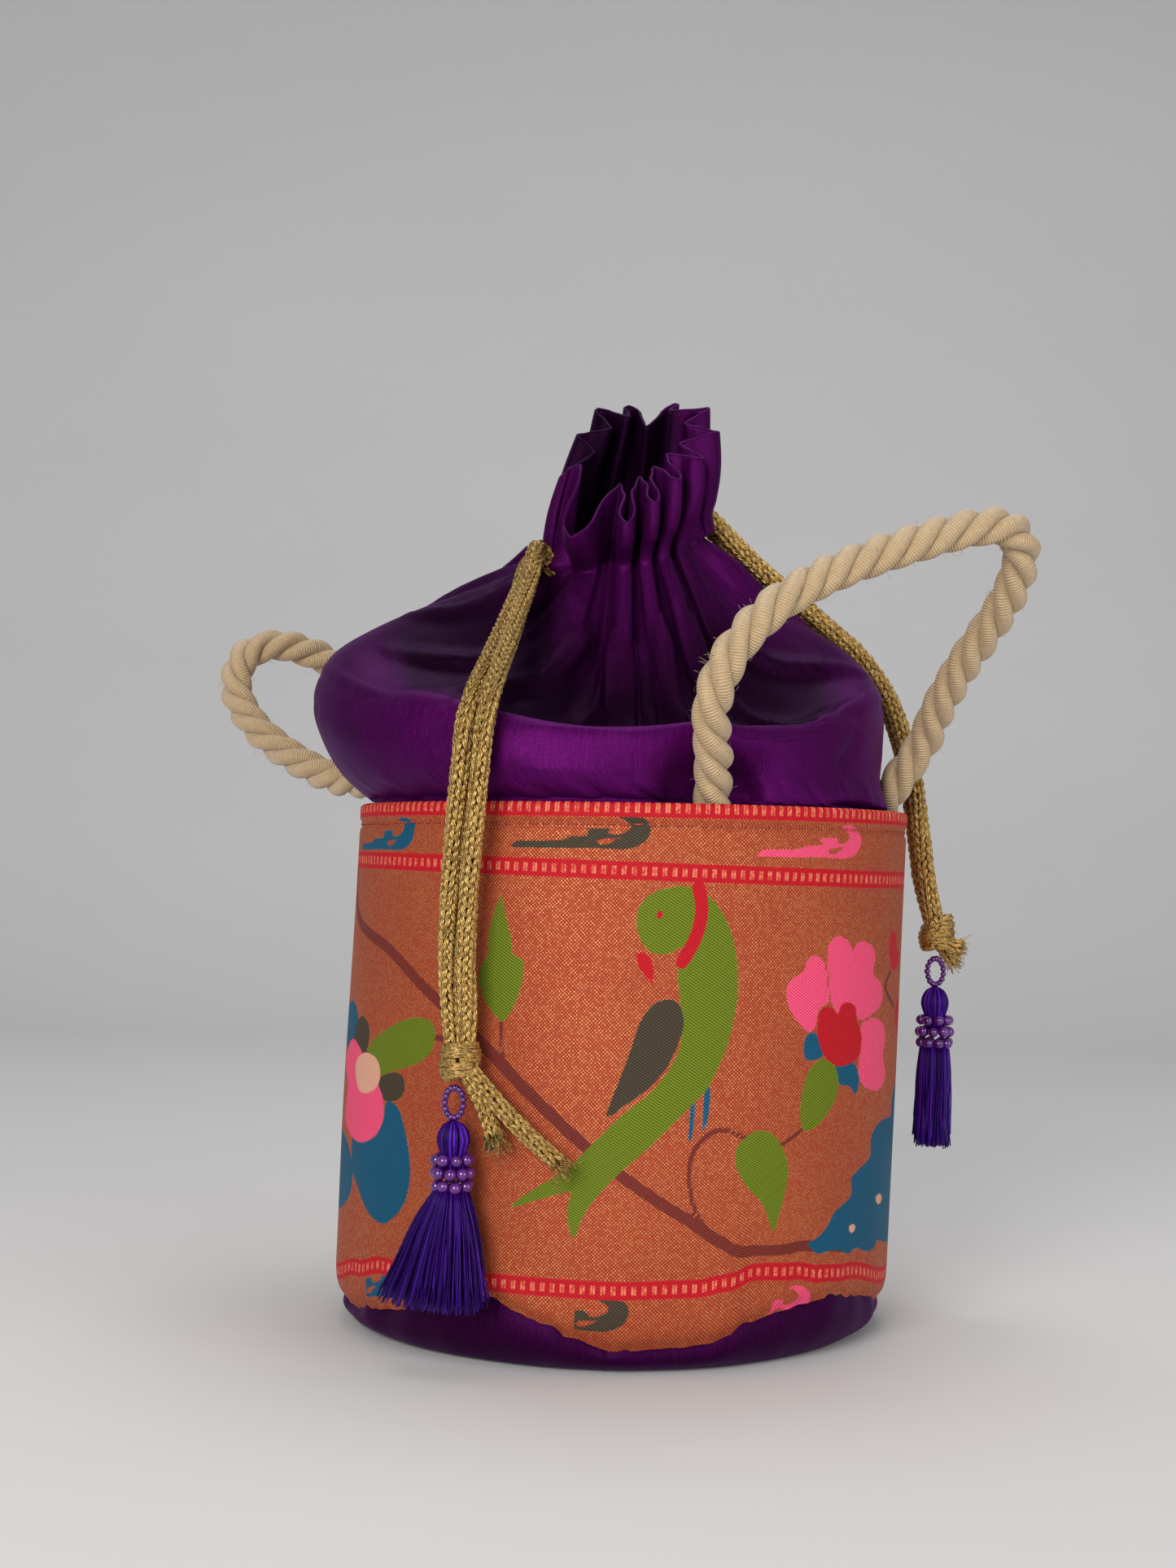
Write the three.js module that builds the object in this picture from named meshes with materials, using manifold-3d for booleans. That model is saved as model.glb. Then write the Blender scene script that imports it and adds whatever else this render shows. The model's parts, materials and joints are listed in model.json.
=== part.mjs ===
// Drawstring pouch bag with a flat round base, a brocade band, a gathered satin neck,
// two twisted rope handles and two braided drawcords that end in beaded silk tassels.
// Millimetres, +Z up, standing on z = 0, front towards -Y.
// An angle is measured from the front towards +X: 0 front, 90 right, 180 back, -90 left.
import * as THREE from "three";
import Module from "manifold-3d";

const wasm = await Module();
wasm.setup();

// driving dimensions
const bodyRadius = 76; // outside of the brocade band
const bandThickness = 1.5; // brocade with its stiffening
const bandTop = 140; // height of the bag's rim
const cornerHeight = 16; // below this the wall rounds in towards the base
const cornerInset = 5; // how far it comes in at the ground
const axisAtGround = -1.6; // the body leans a little to the right
const axisAtRim = 3.2;
const clearance = 0.3; // between pieces that touch
const baseFabric = 1.5;
const baseWallTop = 19; // base fabric turned up inside the band
const boardInset = 10; // from the outside of the body to the board's edge
const boardRadius = bodyRadius - boardInset;
const boardThickness = 2;
const liningThickness = 1.2;
const liningTop = 125.7;
const tuckBottom = 127; // satin sewn down inside the band
const satinThickness = 1.5;
const shoulderAxis = -6.9; // middle of the satin bulge, in X
const neckAxisX = -1.5; // middle of the drawn neck
const neckAxisY = -1.5;
const neckRadius = 18.6; // mean radius at the gather
const neckHeight = 216; // height of the gather on the neck's axis
const neckSlopeX = 0.2; // the gather is higher to the right
const neckSlopeY = 0.34; // and higher at the back
const pleatCount = 16;
const ruffleLength = 36; // hem to gather at the back
const ruffleThickness = 2.4;
const boreX = -0.4; // narrow way left open through the gather
const boreY = -2.2;
const boreRadius = 4.8;
const ropeRadius = 5; // handle rope over its three strands
const ropeGroove = 1.1; // depth between two strands
const ropeLay = 27; // one full turn of a strand
const ropeEndThickness = 4.4; // rope pressed flat where it is sewn in
const ropeSewnFrom = 129.5; // lowest point of a sewn rope end
const ropeSewnWay = 10.5; // sewn end up to the round rope
const cordRadius = 2.6; // braided drawcord
const cordSpacing = 5.7; // between the two strands of one drawcord
const cordRing = 10; // radius of the cord inside its channel
const channelInner = 6.8;
const channelOuter = 13.2;
const cordStep = 3.1; // each cord's ring above or below the gather
const channelHalf = cordStep + cordRadius + 2 * clearance;
const leftExit = -62; // eyelet directions
const rightExit = 98;
const tasselStandOff = 83.8; // tassel axis from the bag's axis
const collarRadius = 5.2; // over the beads
const collarHeight = 9.6;
const collarRows = 3;
const collarBeads = 9;
const coreRadius = 3;
const headRadius = 4;
const headHeight = 7;
const loopTube = 1;
const loopHalfWidth = 3.2;
const loopHalfHeight = 4.6;

const toRadians = Math.PI / 180;

const point = (x, y, z) => new THREE.Vector3(x, y, z);
const mix = (a, b, t) => a + (b - a) * t;
const clamp = (v, a, b) => Math.min(b, Math.max(a, v));
const ease = (v) => {
  const t = clamp(v, 0, 1);
  return t * t * (3 - 2 * t);
};

function polar(cx, cy, radius, angle, z) {
  const a = angle * toRadians;
  return point(cx + radius * Math.sin(a), cy - radius * Math.cos(a), z);
}

// smooth value round the bag from rows of [angle, value]
function around(rows, angle) {
  const a = ((angle + 180) % 360 + 360) % 360 - 180;
  const last = rows.length - 1;
  for (let i = 0; i <= last; i++) {
    const from = rows[i];
    const to = i < last ? rows[i + 1] : [rows[0][0] + 360, rows[0][1]];
    let v = a;
    if (v < from[0] && i === last) v += 360;
    if (v >= from[0] && v <= to[0]) {
      return mix(from[1], to[1], ease((v - from[0]) / (to[0] - from[0])));
    }
  }
  const from = rows[last];
  const to = [rows[0][0] + 360, rows[0][1]];
  return mix(from[1], to[1], ease((a + 360 - from[0]) / (to[0] - from[0])));
}

const bodyAxis = (z) => mix(axisAtGround, axisAtRim, clamp(z / bandTop, 0, 1));

function bodyOuter(z) {
  const t = clamp((cornerHeight - z) / cornerHeight, 0, 1);
  return bodyRadius - cornerInset * t * t;
}

// height of the seam between the band and the base
const seamRows = [[-160, 9], [-120, 10], [-66, 6], [-45, 13], [-27, 13.5], [-9, 7], [2, 5.5],
  [20, 6.8], [36, 10], [58, 9.8], [80, 8], [120, 10.5], [160, 7.5]];
const seamHeight = (angle) => around(seamRows, angle);

// closed surface through rings of equal length
function ringSolid(rings, closeOn) {
  const n = rings[0].length;
  const count = rings.length;
  const positions = [];
  const index = [];
  for (const ring of rings) {
    for (const p of ring) positions.push(p.x, p.y, p.z);
  }
  const bands = closeOn ? count : count - 1;
  for (let j = 0; j < bands; j++) {
    const below = j * n;
    const above = ((j + 1) % count) * n;
    for (let i = 0; i < n; i++) {
      const k = (i + 1) % n;
      index.push(below + i, below + k, above + k);
      index.push(below + i, above + k, above + i);
    }
  }
  if (!closeOn) {
    for (const j of [0, count - 1]) {
      const middle = rings[j].reduce((s, p) => s.add(p), point(0, 0, 0)).divideScalar(n);
      const m = positions.length / 3;
      positions.push(middle.x, middle.y, middle.z);
      for (let i = 0; i < n; i++) {
        const k = (i + 1) % n;
        if (j === 0) index.push(m, j * n + k, j * n + i);
        else index.push(m, j * n + i, j * n + k);
      }
    }
  }
  let volume = 0;
  const at = (i) => point(positions[3 * i], positions[3 * i + 1], positions[3 * i + 2]);
  for (let i = 0; i < index.length; i += 3) {
    const a = at(index[i]);
    const b = at(index[i + 1]);
    const c = at(index[i + 2]);
    volume += a.dot(b.cross(c)) / 6;
  }
  if (volume < 0) {
    for (let i = 0; i < index.length; i += 3) {
      const swap = index[i + 1];
      index[i + 1] = index[i + 2];
      index[i + 2] = swap;
    }
  }
  const geometry = new THREE.BufferGeometry();
  geometry.setAttribute("position", new THREE.Float32BufferAttribute(positions, 3));
  geometry.setIndex(index);
  return geometry;
}

function toManifold(geometry) {
  return new wasm.Manifold(new wasm.Mesh({
    numProp: 3,
    vertProperties: new Float32Array(geometry.attributes.position.array),
    triVerts: new Uint32Array(geometry.index.array),
  }));
}

function fromManifold(solid) {
  const mesh = solid.getMesh();
  const geometry = new THREE.BufferGeometry();
  geometry.setAttribute("position",
    new THREE.Float32BufferAttribute(Float32Array.from(mesh.vertProperties), 3));
  geometry.setIndex(Array.from(mesh.triVerts));
  return geometry;
}

function join(geometries) {
  let solid = toManifold(geometries[0]);
  for (const g of geometries.slice(1)) solid = solid.add(toManifold(g));
  return fromManifold(solid);
}

function smoothPath(points, step) {
  const curve = new THREE.CatmullRomCurve3(points, false, "centripetal");
  curve.arcLengthDivisions = 900;
  const length = curve.getLength();
  const count = Math.max(2, Math.round(length / step));
  return { samples: curve.getSpacedPoints(count), length };
}

// frames carried along a path without twist
function frames(samples) {
  const out = [];
  let side = null;
  for (let i = 0; i < samples.length; i++) {
    const a = samples[Math.max(0, i - 1)];
    const b = samples[Math.min(samples.length - 1, i + 1)];
    const along = b.clone().sub(a).normalize();
    if (!side) {
      side = Math.abs(along.z) < 0.9 ? point(0, 0, 1) : point(1, 0, 0);
    }
    side = side.clone().addScaledVector(along, -side.dot(along)).normalize();
    out.push({ along, side, other: along.clone().cross(side) });
  }
  return out;
}

function roundTube(points, radius, sides, step, endScale = 1) {
  const { samples } = smoothPath(points, step);
  const frame = frames(samples);
  const rings = samples.map((p, i) => {
    const edge = i === samples.length - 1 ? endScale : 1;
    const ring = [];
    for (let k = 0; k < sides; k++) {
      const a = k / sides * 2 * Math.PI;
      ring.push(p.clone()
        .addScaledVector(frame[i].side, Math.cos(a) * radius * edge)
        .addScaledVector(frame[i].other, Math.sin(a) * radius * edge));
    }
    return ring;
  });
  return ringSolid(rings, false);
}

// handles: each rope is sewn in behind the band's rim at two places
const rimInner = bodyRadius - bandThickness - clearance;
const handleRoots = { rightFront: 17, rightSide: 88, leftSide: -104, leftBack: -172 };

function rootPoints(angle, towards) {
  const rows = [[ropeSewnFrom, rimInner - ropeEndThickness / 2, 0],
    [134.5, rimInner - 4.3, 0.05], [139.5, rimInner - ropeRadius - 0.75, 0.15],
    [145.5, rimInner - ropeRadius + 1.9, 0.5], [152, rimInner - ropeRadius + 7, 1]];
  return rows.map(([z, r, t]) => polar(bodyAxis(z), 0, r, angle + towards * t, z));
}

const rightHandlePath = [
  ...rootPoints(handleRoots.rightFront, -2.5),
  point(21.5, -83, 165), point(27, -84, 178), point(38, -80, 189.5), point(52, -74, 198),
  point(69, -67.5, 205), point(85, -62, 210.5), point(96.5, -57, 212), point(101.5, -51, 207.5),
  point(101, -43, 199), point(97, -34, 190), point(91, -25, 180), point(86, -16, 169),
  point(83, -9, 160),
  ...rootPoints(handleRoots.rightSide, -4).slice(0, 4).reverse(),
];
const leftHandlePath = [
  ...rootPoints(handleRoots.leftSide, -1).slice(0, 4),
  point(-85, 31, 148.5), point(-99, 38, 155), point(-112, 44, 165), point(-118.5, 49, 176),
  point(-117, 53, 186), point(-109, 57, 190.5), point(-97, 62, 188.5), point(-83, 68, 181),
  point(-66, 75, 172), point(-47, 81, 163), point(-28, 83, 155.5),
  ...rootPoints(handleRoots.leftBack, -6).slice(0, 4).reverse(),
];

// three-strand rope, round along its free length and pressed flat at both sewn ends
function ropeSolid(path) {
  const { samples, length } = smoothPath(path, 3.1);
  const frame = frames(samples);
  const sides = 12;
  const rings = samples.map((p, i) => {
    const s = i / (samples.length - 1) * length;
    const fromEnd = Math.min(s, length - s);
    const flat = mix(ropeEndThickness / (2 * ropeRadius), 1, ease(fromEnd / ropeSewnWay));
    const wide = mix(1.25, 1, ease(fromEnd / ropeSewnWay));
    const outward = point(p.x - bodyAxis(p.z), p.y, 0).normalize();
    const ring = [];
    for (let k = 0; k < sides; k++) {
      const a = k / sides * 2 * Math.PI - s / ropeLay * 2 * Math.PI;
      const lobe = Math.cos(3 * k / sides * 2 * Math.PI);
      const r = ropeRadius - ropeGroove * (0.5 - 0.5 * lobe);
      const q = point(0, 0, 0)
        .addScaledVector(frame[i].side, Math.cos(a) * r)
        .addScaledVector(frame[i].other, Math.sin(a) * r);
      const depth = q.dot(outward);
      q.addScaledVector(outward, -depth).multiplyScalar(wide).addScaledVector(outward, depth * flat);
      ring.push(p.clone().add(q));
    }
    return ring;
  });
  return { geometry: ringSolid(rings, false), samples };
}

const rightHandle = ropeSolid(rightHandlePath);
const leftHandle = ropeSolid(leftHandlePath);

// drawcords: two strands up from the knot, over the shoulder, in at the eyelet, once round
function neckShear(x, y) {
  return neckSlopeX * (x - neckAxisX) + neckSlopeY * (y - neckAxisY);
}

function neckPoint(radius, angle, level) {
  const p = polar(neckAxisX, neckAxisY, radius, angle, 0);
  p.z = neckHeight + level + neckShear(p.x, p.y);
  return p;
}

function strandPair(middle, spread, upToKnot) {
  const left = [];
  const right = [];
  const last = middle.length - 1;
  middle.forEach((p, i) => {
    const a = middle[Math.max(0, i - 1)];
    const b = middle[Math.min(last, i + 1)];
    const along = b.clone().sub(a).normalize();
    const outward = point(p.x, p.y, 0).normalize();
    const across = along.clone().cross(outward).normalize();
    const half = spread[i] / 2;
    left.push(p.clone().addScaledVector(across, -half));
    right.push(p.clone().addScaledVector(across, half));
  });
  return { left, right };
}

function drawcordPath(exit, level, middle, spread) {
  const pair = strandPair(middle, spread);
  const half = cordSpacing / 2;
  const a = exit * toRadians;
  const across = point(Math.cos(a), Math.sin(a), 0);
  const through = (radius, side) => {
    const p = neckPoint(radius, exit, level);
    p.addScaledVector(across, side * half);
    p.z = neckHeight + level + neckShear(p.x, p.y);
    return p;
  };
  const ring = [];
  for (let k = 0; k <= 14; k++) {
    ring.push(neckPoint(cordRing, exit + 42 + k / 14 * (360 - 84), level));
  }
  const firstSide = pair.right[0].clone().sub(pair.left[0]).dot(across) > 0;
  const plus = firstSide ? pair.right : pair.left;
  const minus = firstSide ? pair.left : pair.right;
  return [...plus.slice().reverse(), through(20.5, 1), through(15, 1), ...ring,
    through(15, -1), through(20.5, -1), ...minus];
}

const leftHang = 83.1; // distance of the hanging strands from the bag's axis
const leftKnot = polar(bodyAxis(76), 0, leftHang, -28.5, 76);
const leftMiddle = [point(-25, -15.5, 209), point(-27.2, -27, 199.5), point(-30, -45, 187),
  point(-32.6, -61, 176), point(-35, -72.5, 166.5), point(-36.6, -76.2, 158),
  point(-37.4, -76, 148), point(-38.4, -75.2, 136), point(-39.6, -74.2, 118),
  point(-40, -73.4, 100), point(-39.2, -73.2, 88), leftKnot];
const leftSpread = [5.7, 5.8, 5.9, 6, 6, 6, 6, 6, 6, 6, 5.6, 2.5];
const rightKnot = point(90.6, 14, 106);
const rightMiddle = [point(21, 4, 224), point(37, 6.5, 209.5), point(53.5, 9, 196),
  point(66.5, 11, 185), point(75, 12.5, 173.5), point(80, 13.5, 161), point(82.8, 14, 150),
  point(84.8, 14, 136), point(87, 14, 121), rightKnot];
const rightSpread = [5.7, 5.9, 6, 6, 6, 6, 6, 6, 5.6, 2.5];

function knotSolid(centre, width, height) {
  const rings = [];
  const rows = 8;
  for (let j = 1; j < rows; j++) {
    const v = j / rows * Math.PI;
    const ring = [];
    for (let k = 0; k < 12; k++) {
      const a = k / 12 * 2 * Math.PI;
      const bump = 1 + 0.1 * Math.cos(3 * a + 4 * v);
      ring.push(point(
        centre.x + Math.cos(a) * Math.sin(v) * width / 2 * bump,
        centre.y + Math.sin(a) * Math.sin(v) * width * 0.42 * bump,
        centre.z - Math.cos(v) * height / 2));
    }
    rings.push(ring);
  }
  return ringSolid(rings, false);
}

const knotWidth = 9;
const knotHeight = 11;

function drawcordSolid(exit, level, middle, spread, knot, tails) {
  const path = drawcordPath(exit, level, middle, spread);
  const pieces = [roundTube(path, cordRadius, 8, 5.6), knotSolid(knot, knotWidth, knotHeight)];
  for (const tail of tails) pieces.push(roundTube([knot, ...tail], cordRadius * 0.92, 8, 4, 1.25));
  return { geometry: join(pieces), path };
}

const leftTails = [
  [point(-34.5, -73.9, 69), point(-31.8, -74.6, 63), point(-29.6, -75.4, 57.5)],
  [point(-32.5, -75.4, 69.5), point(-26.5, -77.8, 63.5), point(-20, -79.6, 57.5),
    point(-14, -80.9, 52.5)],
];
const rightTails = [
  [point(94, 13, 103.4), point(97.4, 12.4, 102.6)],
  [point(93.4, 16.5, 101.8), point(96.2, 18.4, 98.4)],
];
const leftCord = drawcordSolid(leftExit, -cordStep, leftMiddle, leftSpread, leftKnot, leftTails);
const rightCord = drawcordSolid(rightExit, cordStep, rightMiddle, rightSpread, rightKnot, rightTails);

// satin pouch: stations run from inside the band over the shoulder to the gather
const stationRadius = [79.4, 77.4, 72.8, 61, 46, 33, 24.5];
const stationHeights = [
  [[-90, 174], [-45, 162], [0, 154], [45, 157], [90, 166], [180, 170]],
  [[-90, 180.5], [-45, 167.5], [0, 158], [45, 163], [90, 173.5], [180, 177]],
  [[-90, 185], [-45, 170], [0, 159.5], [45, 166], [90, 180], [180, 182]],
  [[-90, 193], [-45, 176], [0, 163], [45, 171], [90, 190], [180, 191]],
  [[-90, 200.5], [-45, 184.5], [0, 171], [45, 179], [90, 197], [180, 198.5]],
  [[-90, 207.5], [-45, 193], [0, 182], [45, 189.5], [90, 205], [180, 207]],
  [[-90, 212], [-45, 202.5], [0, 194], [45, 200], [90, 213], [180, 215]],
];
const foldDepth = [0, 0, 0.4, 1, 1.8, 2.6, 2.9];
const bulgeRadius = 77.2; // half way up to the shoulder
const perPleat = 6;
const samplesRound = pleatCount * perPleat;

// pleats of uneven width: phase runs evenly, the angle doesn't
function pleatAngle(i) {
  const even = i / samplesRound * 360 - 180;
  const a = even * toRadians;
  return even + 5 * Math.sin(2 * a + 0.7) + 3.2 * Math.sin(5 * a + 1.9);
}
const pleatWave = (i) => Math.cos((i % perPleat) / perPleat * 2 * Math.PI);
function pleatSize(i) {
  const k = Math.floor((i + perPleat / 2) / perPleat) % pleatCount;
  return 1 + 0.22 * Math.sin(k * 2.4 + 0.8);
}

const handleSamples = [...smoothPath(rightHandlePath, 1.5).samples,
  ...smoothPath(leftHandlePath, 1.5).samples];
const cordSamples = [...smoothPath(leftMiddle, 3).samples, ...smoothPath(rightMiddle, 3).samples];

// distance to a path, with the way round the bag counted short so that a dent is wide
function nearestGap(p, samples, tangent, share) {
  let best = Infinity;
  for (const q of samples) {
    const dx = p.x - q.x;
    const dy = p.y - q.y;
    const dz = p.z - q.z;
    const round = dx * tangent.x + dy * tangent.y;
    best = Math.min(best, dx * dx + dy * dy + dz * dz - round * round * (1 - share * share));
  }
  return Math.sqrt(Math.max(best, 0));
}

// the cloth gives way where a rope handle or a drawcord lies against it
function giveWay(p, cx, cy, inward) {
  const out = p.clone();
  const probe = out.clone();
  for (let k = 0; k < 60; k++) {
    probe.copy(out);
    probe.z = Math.max(out.z, ropeSewnFrom + 2);
    const way = point(cx - out.x, cy - out.y, 0).normalize();
    const tangent = point(-way.y, way.x, 0);
    const ropeGap = nearestGap(probe, handleSamples, tangent, 0.5) - ropeRadius - 2.6;
    const cordGap = nearestGap(out, cordSamples, tangent, 0.8) - cordRadius - cordSpacing / 2 - 0.7;
    if (ropeGap >= 0 && cordGap >= 0) break;
    way.multiplyScalar(0.4);
    if (inward) way.z = -0.3;
    out.add(way);
  }
  return out;
}

function ringAt(build) {
  const ring = [];
  for (let i = 0; i < samplesRound; i++) ring.push(build(pleatAngle(i), i));
  return ring;
}

const tuckOuter = bodyRadius - bandThickness - clearance;
const tuckRows = [tuckBottom, 131, 134, 137, bandTop];
const outerRings = [];
for (const z of tuckRows) {
  outerRings.push(ringAt((a) => giveWay(polar(bodyAxis(z), 0, tuckOuter, a, z), bodyAxis(z), 0)));
}
for (const part of [0.18, 0.42, 0.7]) {
  outerRings.push(ringAt((a) => {
    const top = around(stationHeights[0], a);
    const z = mix(bandTop, top, part);
    const cx = mix(axisAtRim, shoulderAxis, part);
    const r = mix(tuckOuter, stationRadius[0], ease(part * 1.15)) + (part < 0.5 ? 0.3 : 0.2);
    return giveWay(polar(cx, 0, Math.min(r, bulgeRadius + 2), a, z), cx, 0);
  }));
}
stationRadius.forEach((r, s) => {
  const part = s / (stationRadius.length - 1);
  const cx = mix(shoulderAxis, neckAxisX, ease(part));
  const cy = mix(0, neckAxisY, ease(part));
  outerRings.push(ringAt((a, i) => {
    const wave = pleatWave(i) * pleatSize(i) * foldDepth[s];
    const p = polar(cx, cy, r + wave * 0.45, a, around(stationHeights[s], a) + wave * 0.8);
    return giveWay(p, cx, cy, s > 0);
  }));
});

// gather and ruffle, rows of [way up, mean radius, pleat depth, lean in X, lean in Y]
const ruffleRows = [[0, neckRadius, 2.7, 0, 0], [0.2, 18.4, 3.4, 0.9, -0.9],
  [0.45, 19.6, 4.6, 2.4, -2.6], [0.72, 21.6, 5.4, 4.2, -4.6], [1, 23, 5.8, 6, -6.6]];
const ruffleRise = (angle) => around([[-150, 34], [-90, 26], [-45, 15], [0, 12], [45, 20],
  [90, 27], [150, ruffleLength]], angle);
const ruffleFlare = (angle) => around([[-90, 0.5], [0, 3], [60, 1.5], [180, -1.5]], angle);

function ruffleRing(row, inset, drop) {
  const [way, radius, depth, leanX, leanY] = row;
  return ringAt((a, i) => {
    const r = radius + way * ruffleFlare(a) + pleatWave(i) * pleatSize(i) * depth - inset;
    const base = polar(neckAxisX, neckAxisY, neckRadius, a, 0);
    const p = polar(neckAxisX + leanX, neckAxisY + leanY, r, a, 0);
    p.z = neckHeight + neckShear(base.x, base.y) + way * ruffleRise(a) - drop;
    return p;
  });
}
for (const row of ruffleRows) outerRings.push(ruffleRing(row, 0, 0));

const innerRings = [];
for (const j of [4, 3, 2]) innerRings.push(ruffleRing(ruffleRows[j], ruffleThickness, 0));
const boreRing = (level) => ringAt((a) => {
  const p = polar(boreX, boreY, boreRadius, a, 0);
  p.z = neckHeight + level + neckShear(p.x, p.y);
  return p;
});
innerRings.push(boreRing(channelHalf + 2.2));
innerRings.push(boreRing(-channelHalf - 2.2));
const insetRadius = [1.7, 1.6, 1.2, 0.5, 0.6, 1.1, 3.2];
const insetHeight = [0.4, 1, 1.6, 1.8, 1.8, 1.9, 2.4];
for (let s = stationRadius.length - 1; s >= 0; s--) {
  const part = s / (stationRadius.length - 1);
  const cx = mix(shoulderAxis, neckAxisX, ease(part));
  const cy = mix(0, neckAxisY, ease(part));
  const outer = outerRings[tuckRows.length + 3 + s];
  innerRings.push(outer.map((p) => {
    const way = point(cx - p.x, cy - p.y, 0).normalize();
    return p.clone().addScaledVector(way, insetRadius[s]).add(point(0, 0, -insetHeight[s]));
  }));
}
for (let s = tuckRows.length + 2; s >= 0; s--) {
  innerRings.push(outerRings[s].map((p) => {
    const way = point(bodyAxis(p.z) - p.x, -p.y, 0).normalize();
    return p.clone().addScaledVector(way, satinThickness);
  }));
}

function sheared(geometry) {
  const pos = geometry.attributes.position;
  for (let i = 0; i < pos.count; i++) {
    pos.setZ(i, pos.getZ(i) + neckHeight + neckShear(pos.getX(i), pos.getY(i)));
  }
  return geometry;
}

// the channel round the gather that both drawcords run in
function channelSolid() {
  const rings = [];
  const corners = [[channelInner, -channelHalf], [channelOuter, -channelHalf],
    [channelOuter, channelHalf], [channelInner, channelHalf]];
  for (const [r, z] of corners) {
    const ring = [];
    for (let k = 0; k < 32; k++) ring.push(polar(neckAxisX, neckAxisY, r, k / 32 * 360, z));
    rings.push(ring);
  }
  return sheared(ringSolid(rings, true));
}

// eyelet slot from the channel out through the pleats, wide enough for two strands
function slotSolid(exit, level) {
  const a = exit * toRadians;
  const outward = point(Math.sin(a), -Math.cos(a), 0);
  const across = point(Math.cos(a), Math.sin(a), 0);
  const halfWidth = cordSpacing / 2 + cordRadius + 3 * clearance;
  const halfHeight = cordRadius + 2 * clearance;
  const rings = [];
  for (const r of [cordRing, 34]) {
    const ring = [];
    for (const [w, h] of [[-1, -0.6], [-0.7, -1], [0.7, -1], [1, -0.6], [1, 0.6], [0.7, 1],
      [-0.7, 1], [-1, 0.6]]) {
      ring.push(point(neckAxisX, neckAxisY, level + h * halfHeight * (r > 20 ? 1.6 : 1))
        .addScaledVector(outward, r)
        .addScaledVector(across, w * halfWidth * (r > 20 ? 1.25 : 1)));
    }
    rings.push(ring);
  }
  return sheared(ringSolid(rings, false));
}

// each cord's own way through the gather, with clearance round it
function cordWay(path) {
  const middle = path.filter((p) => Math.hypot(p.x - neckAxisX, p.y - neckAxisY) < 24);
  return roundTube(middle, cordRadius + clearance + 0.1, 8, 5.6);
}

let satinSolid = toManifold(ringSolid([...outerRings, ...innerRings], true));
satinSolid = satinSolid.subtract(toManifold(channelSolid()));
satinSolid = satinSolid.subtract(toManifold(slotSolid(leftExit, -cordStep)));
satinSolid = satinSolid.subtract(toManifold(slotSolid(rightExit, cordStep)));
satinSolid = satinSolid.subtract(toManifold(cordWay(leftCord.path)));
satinSolid = satinSolid.subtract(toManifold(cordWay(rightCord.path)));
// the slots can shave a crumb off a pleat: only the pouch itself is kept
satinSolid = satinSolid.decompose().sort((a, b) => b.volume() - a.volume())[0];

// brocade band: a rolled wall with its lower edge following the base seam
function bandSolid() {
  const n = 60;
  const ring = (inset, heightOf) => {
    const out = [];
    for (let k = 0; k < n; k++) {
      const a = k / n * 360 - 180;
      const z = heightOf(seamHeight(a));
      out.push(polar(bodyAxis(z), 0, bodyOuter(z) - inset, a, z));
    }
    return out;
  };
  const heights = [(s) => s, (s) => s + 3, (s) => s + 7, () => 24, () => 60, () => 100,
    () => bandTop];
  return ringSolid([...heights.map((h) => ring(0, h)),
    ...heights.slice().reverse().map((h) => ring(bandThickness, h))], true);
}

function wallRing(radius, z, n) {
  const out = [];
  for (let k = 0; k < n; k++) out.push(polar(bodyAxis(z), 0, radius, k / n * 360, z));
  return out;
}

// base: a round flat bottom turned up behind the band's lower edge
function baseSolid() {
  const n = 48;
  const inside = (z) => bodyOuter(z) - bandThickness - clearance;
  const outer = [[boardRadius - 2, 0], [boardRadius + 0.8, 0], [boardRadius + 2.4, 0.7], [inside(3), 3], [inside(7), 7],
    [inside(12), 12], [inside(baseWallTop), baseWallTop]];
  const inner = [[inside(baseWallTop) - baseFabric, baseWallTop], [inside(12) - baseFabric, 12],
    [inside(7) - baseFabric, 7], [inside(3) - baseFabric, 3], [boardRadius + 0.8, baseFabric]];
  return ringSolid([...outer, ...inner].map(([r, z]) => wallRing(r, z, n)), false);
}

// lining: an open cup against the base and the inside of the band
function liningSolid() {
  const n = 40;
  const floor = baseFabric + boardThickness + 2 * clearance;
  const step = baseWallTop + clearance;
  const low = (z) => bodyOuter(z) - bandThickness - baseFabric - 2 * clearance;
  const high = bodyRadius - bandThickness - clearance;
  const outer = [[boardRadius, floor], [low(6), 6], [low(12), 12], [low(baseWallTop), baseWallTop],
    [high, step + 3], [high, liningTop]];
  const inner = [[high - liningThickness, liningTop], [high - liningThickness, step + 3.6],
    [low(baseWallTop) - liningThickness, baseWallTop + 0.6], [low(12) - liningThickness, 12],
    [low(6.5) - liningThickness, 7], [boardRadius - liningThickness, floor + liningThickness]];
  return ringSolid([...outer, ...inner].map(([r, z]) => wallRing(r, z, n)), false);
}

function boardSolid() {
  const low = baseFabric + clearance;
  return ringSolid([wallRing(boardRadius, low, 48), wallRing(boardRadius, low + boardThickness, 48)],
    false);
}

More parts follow.
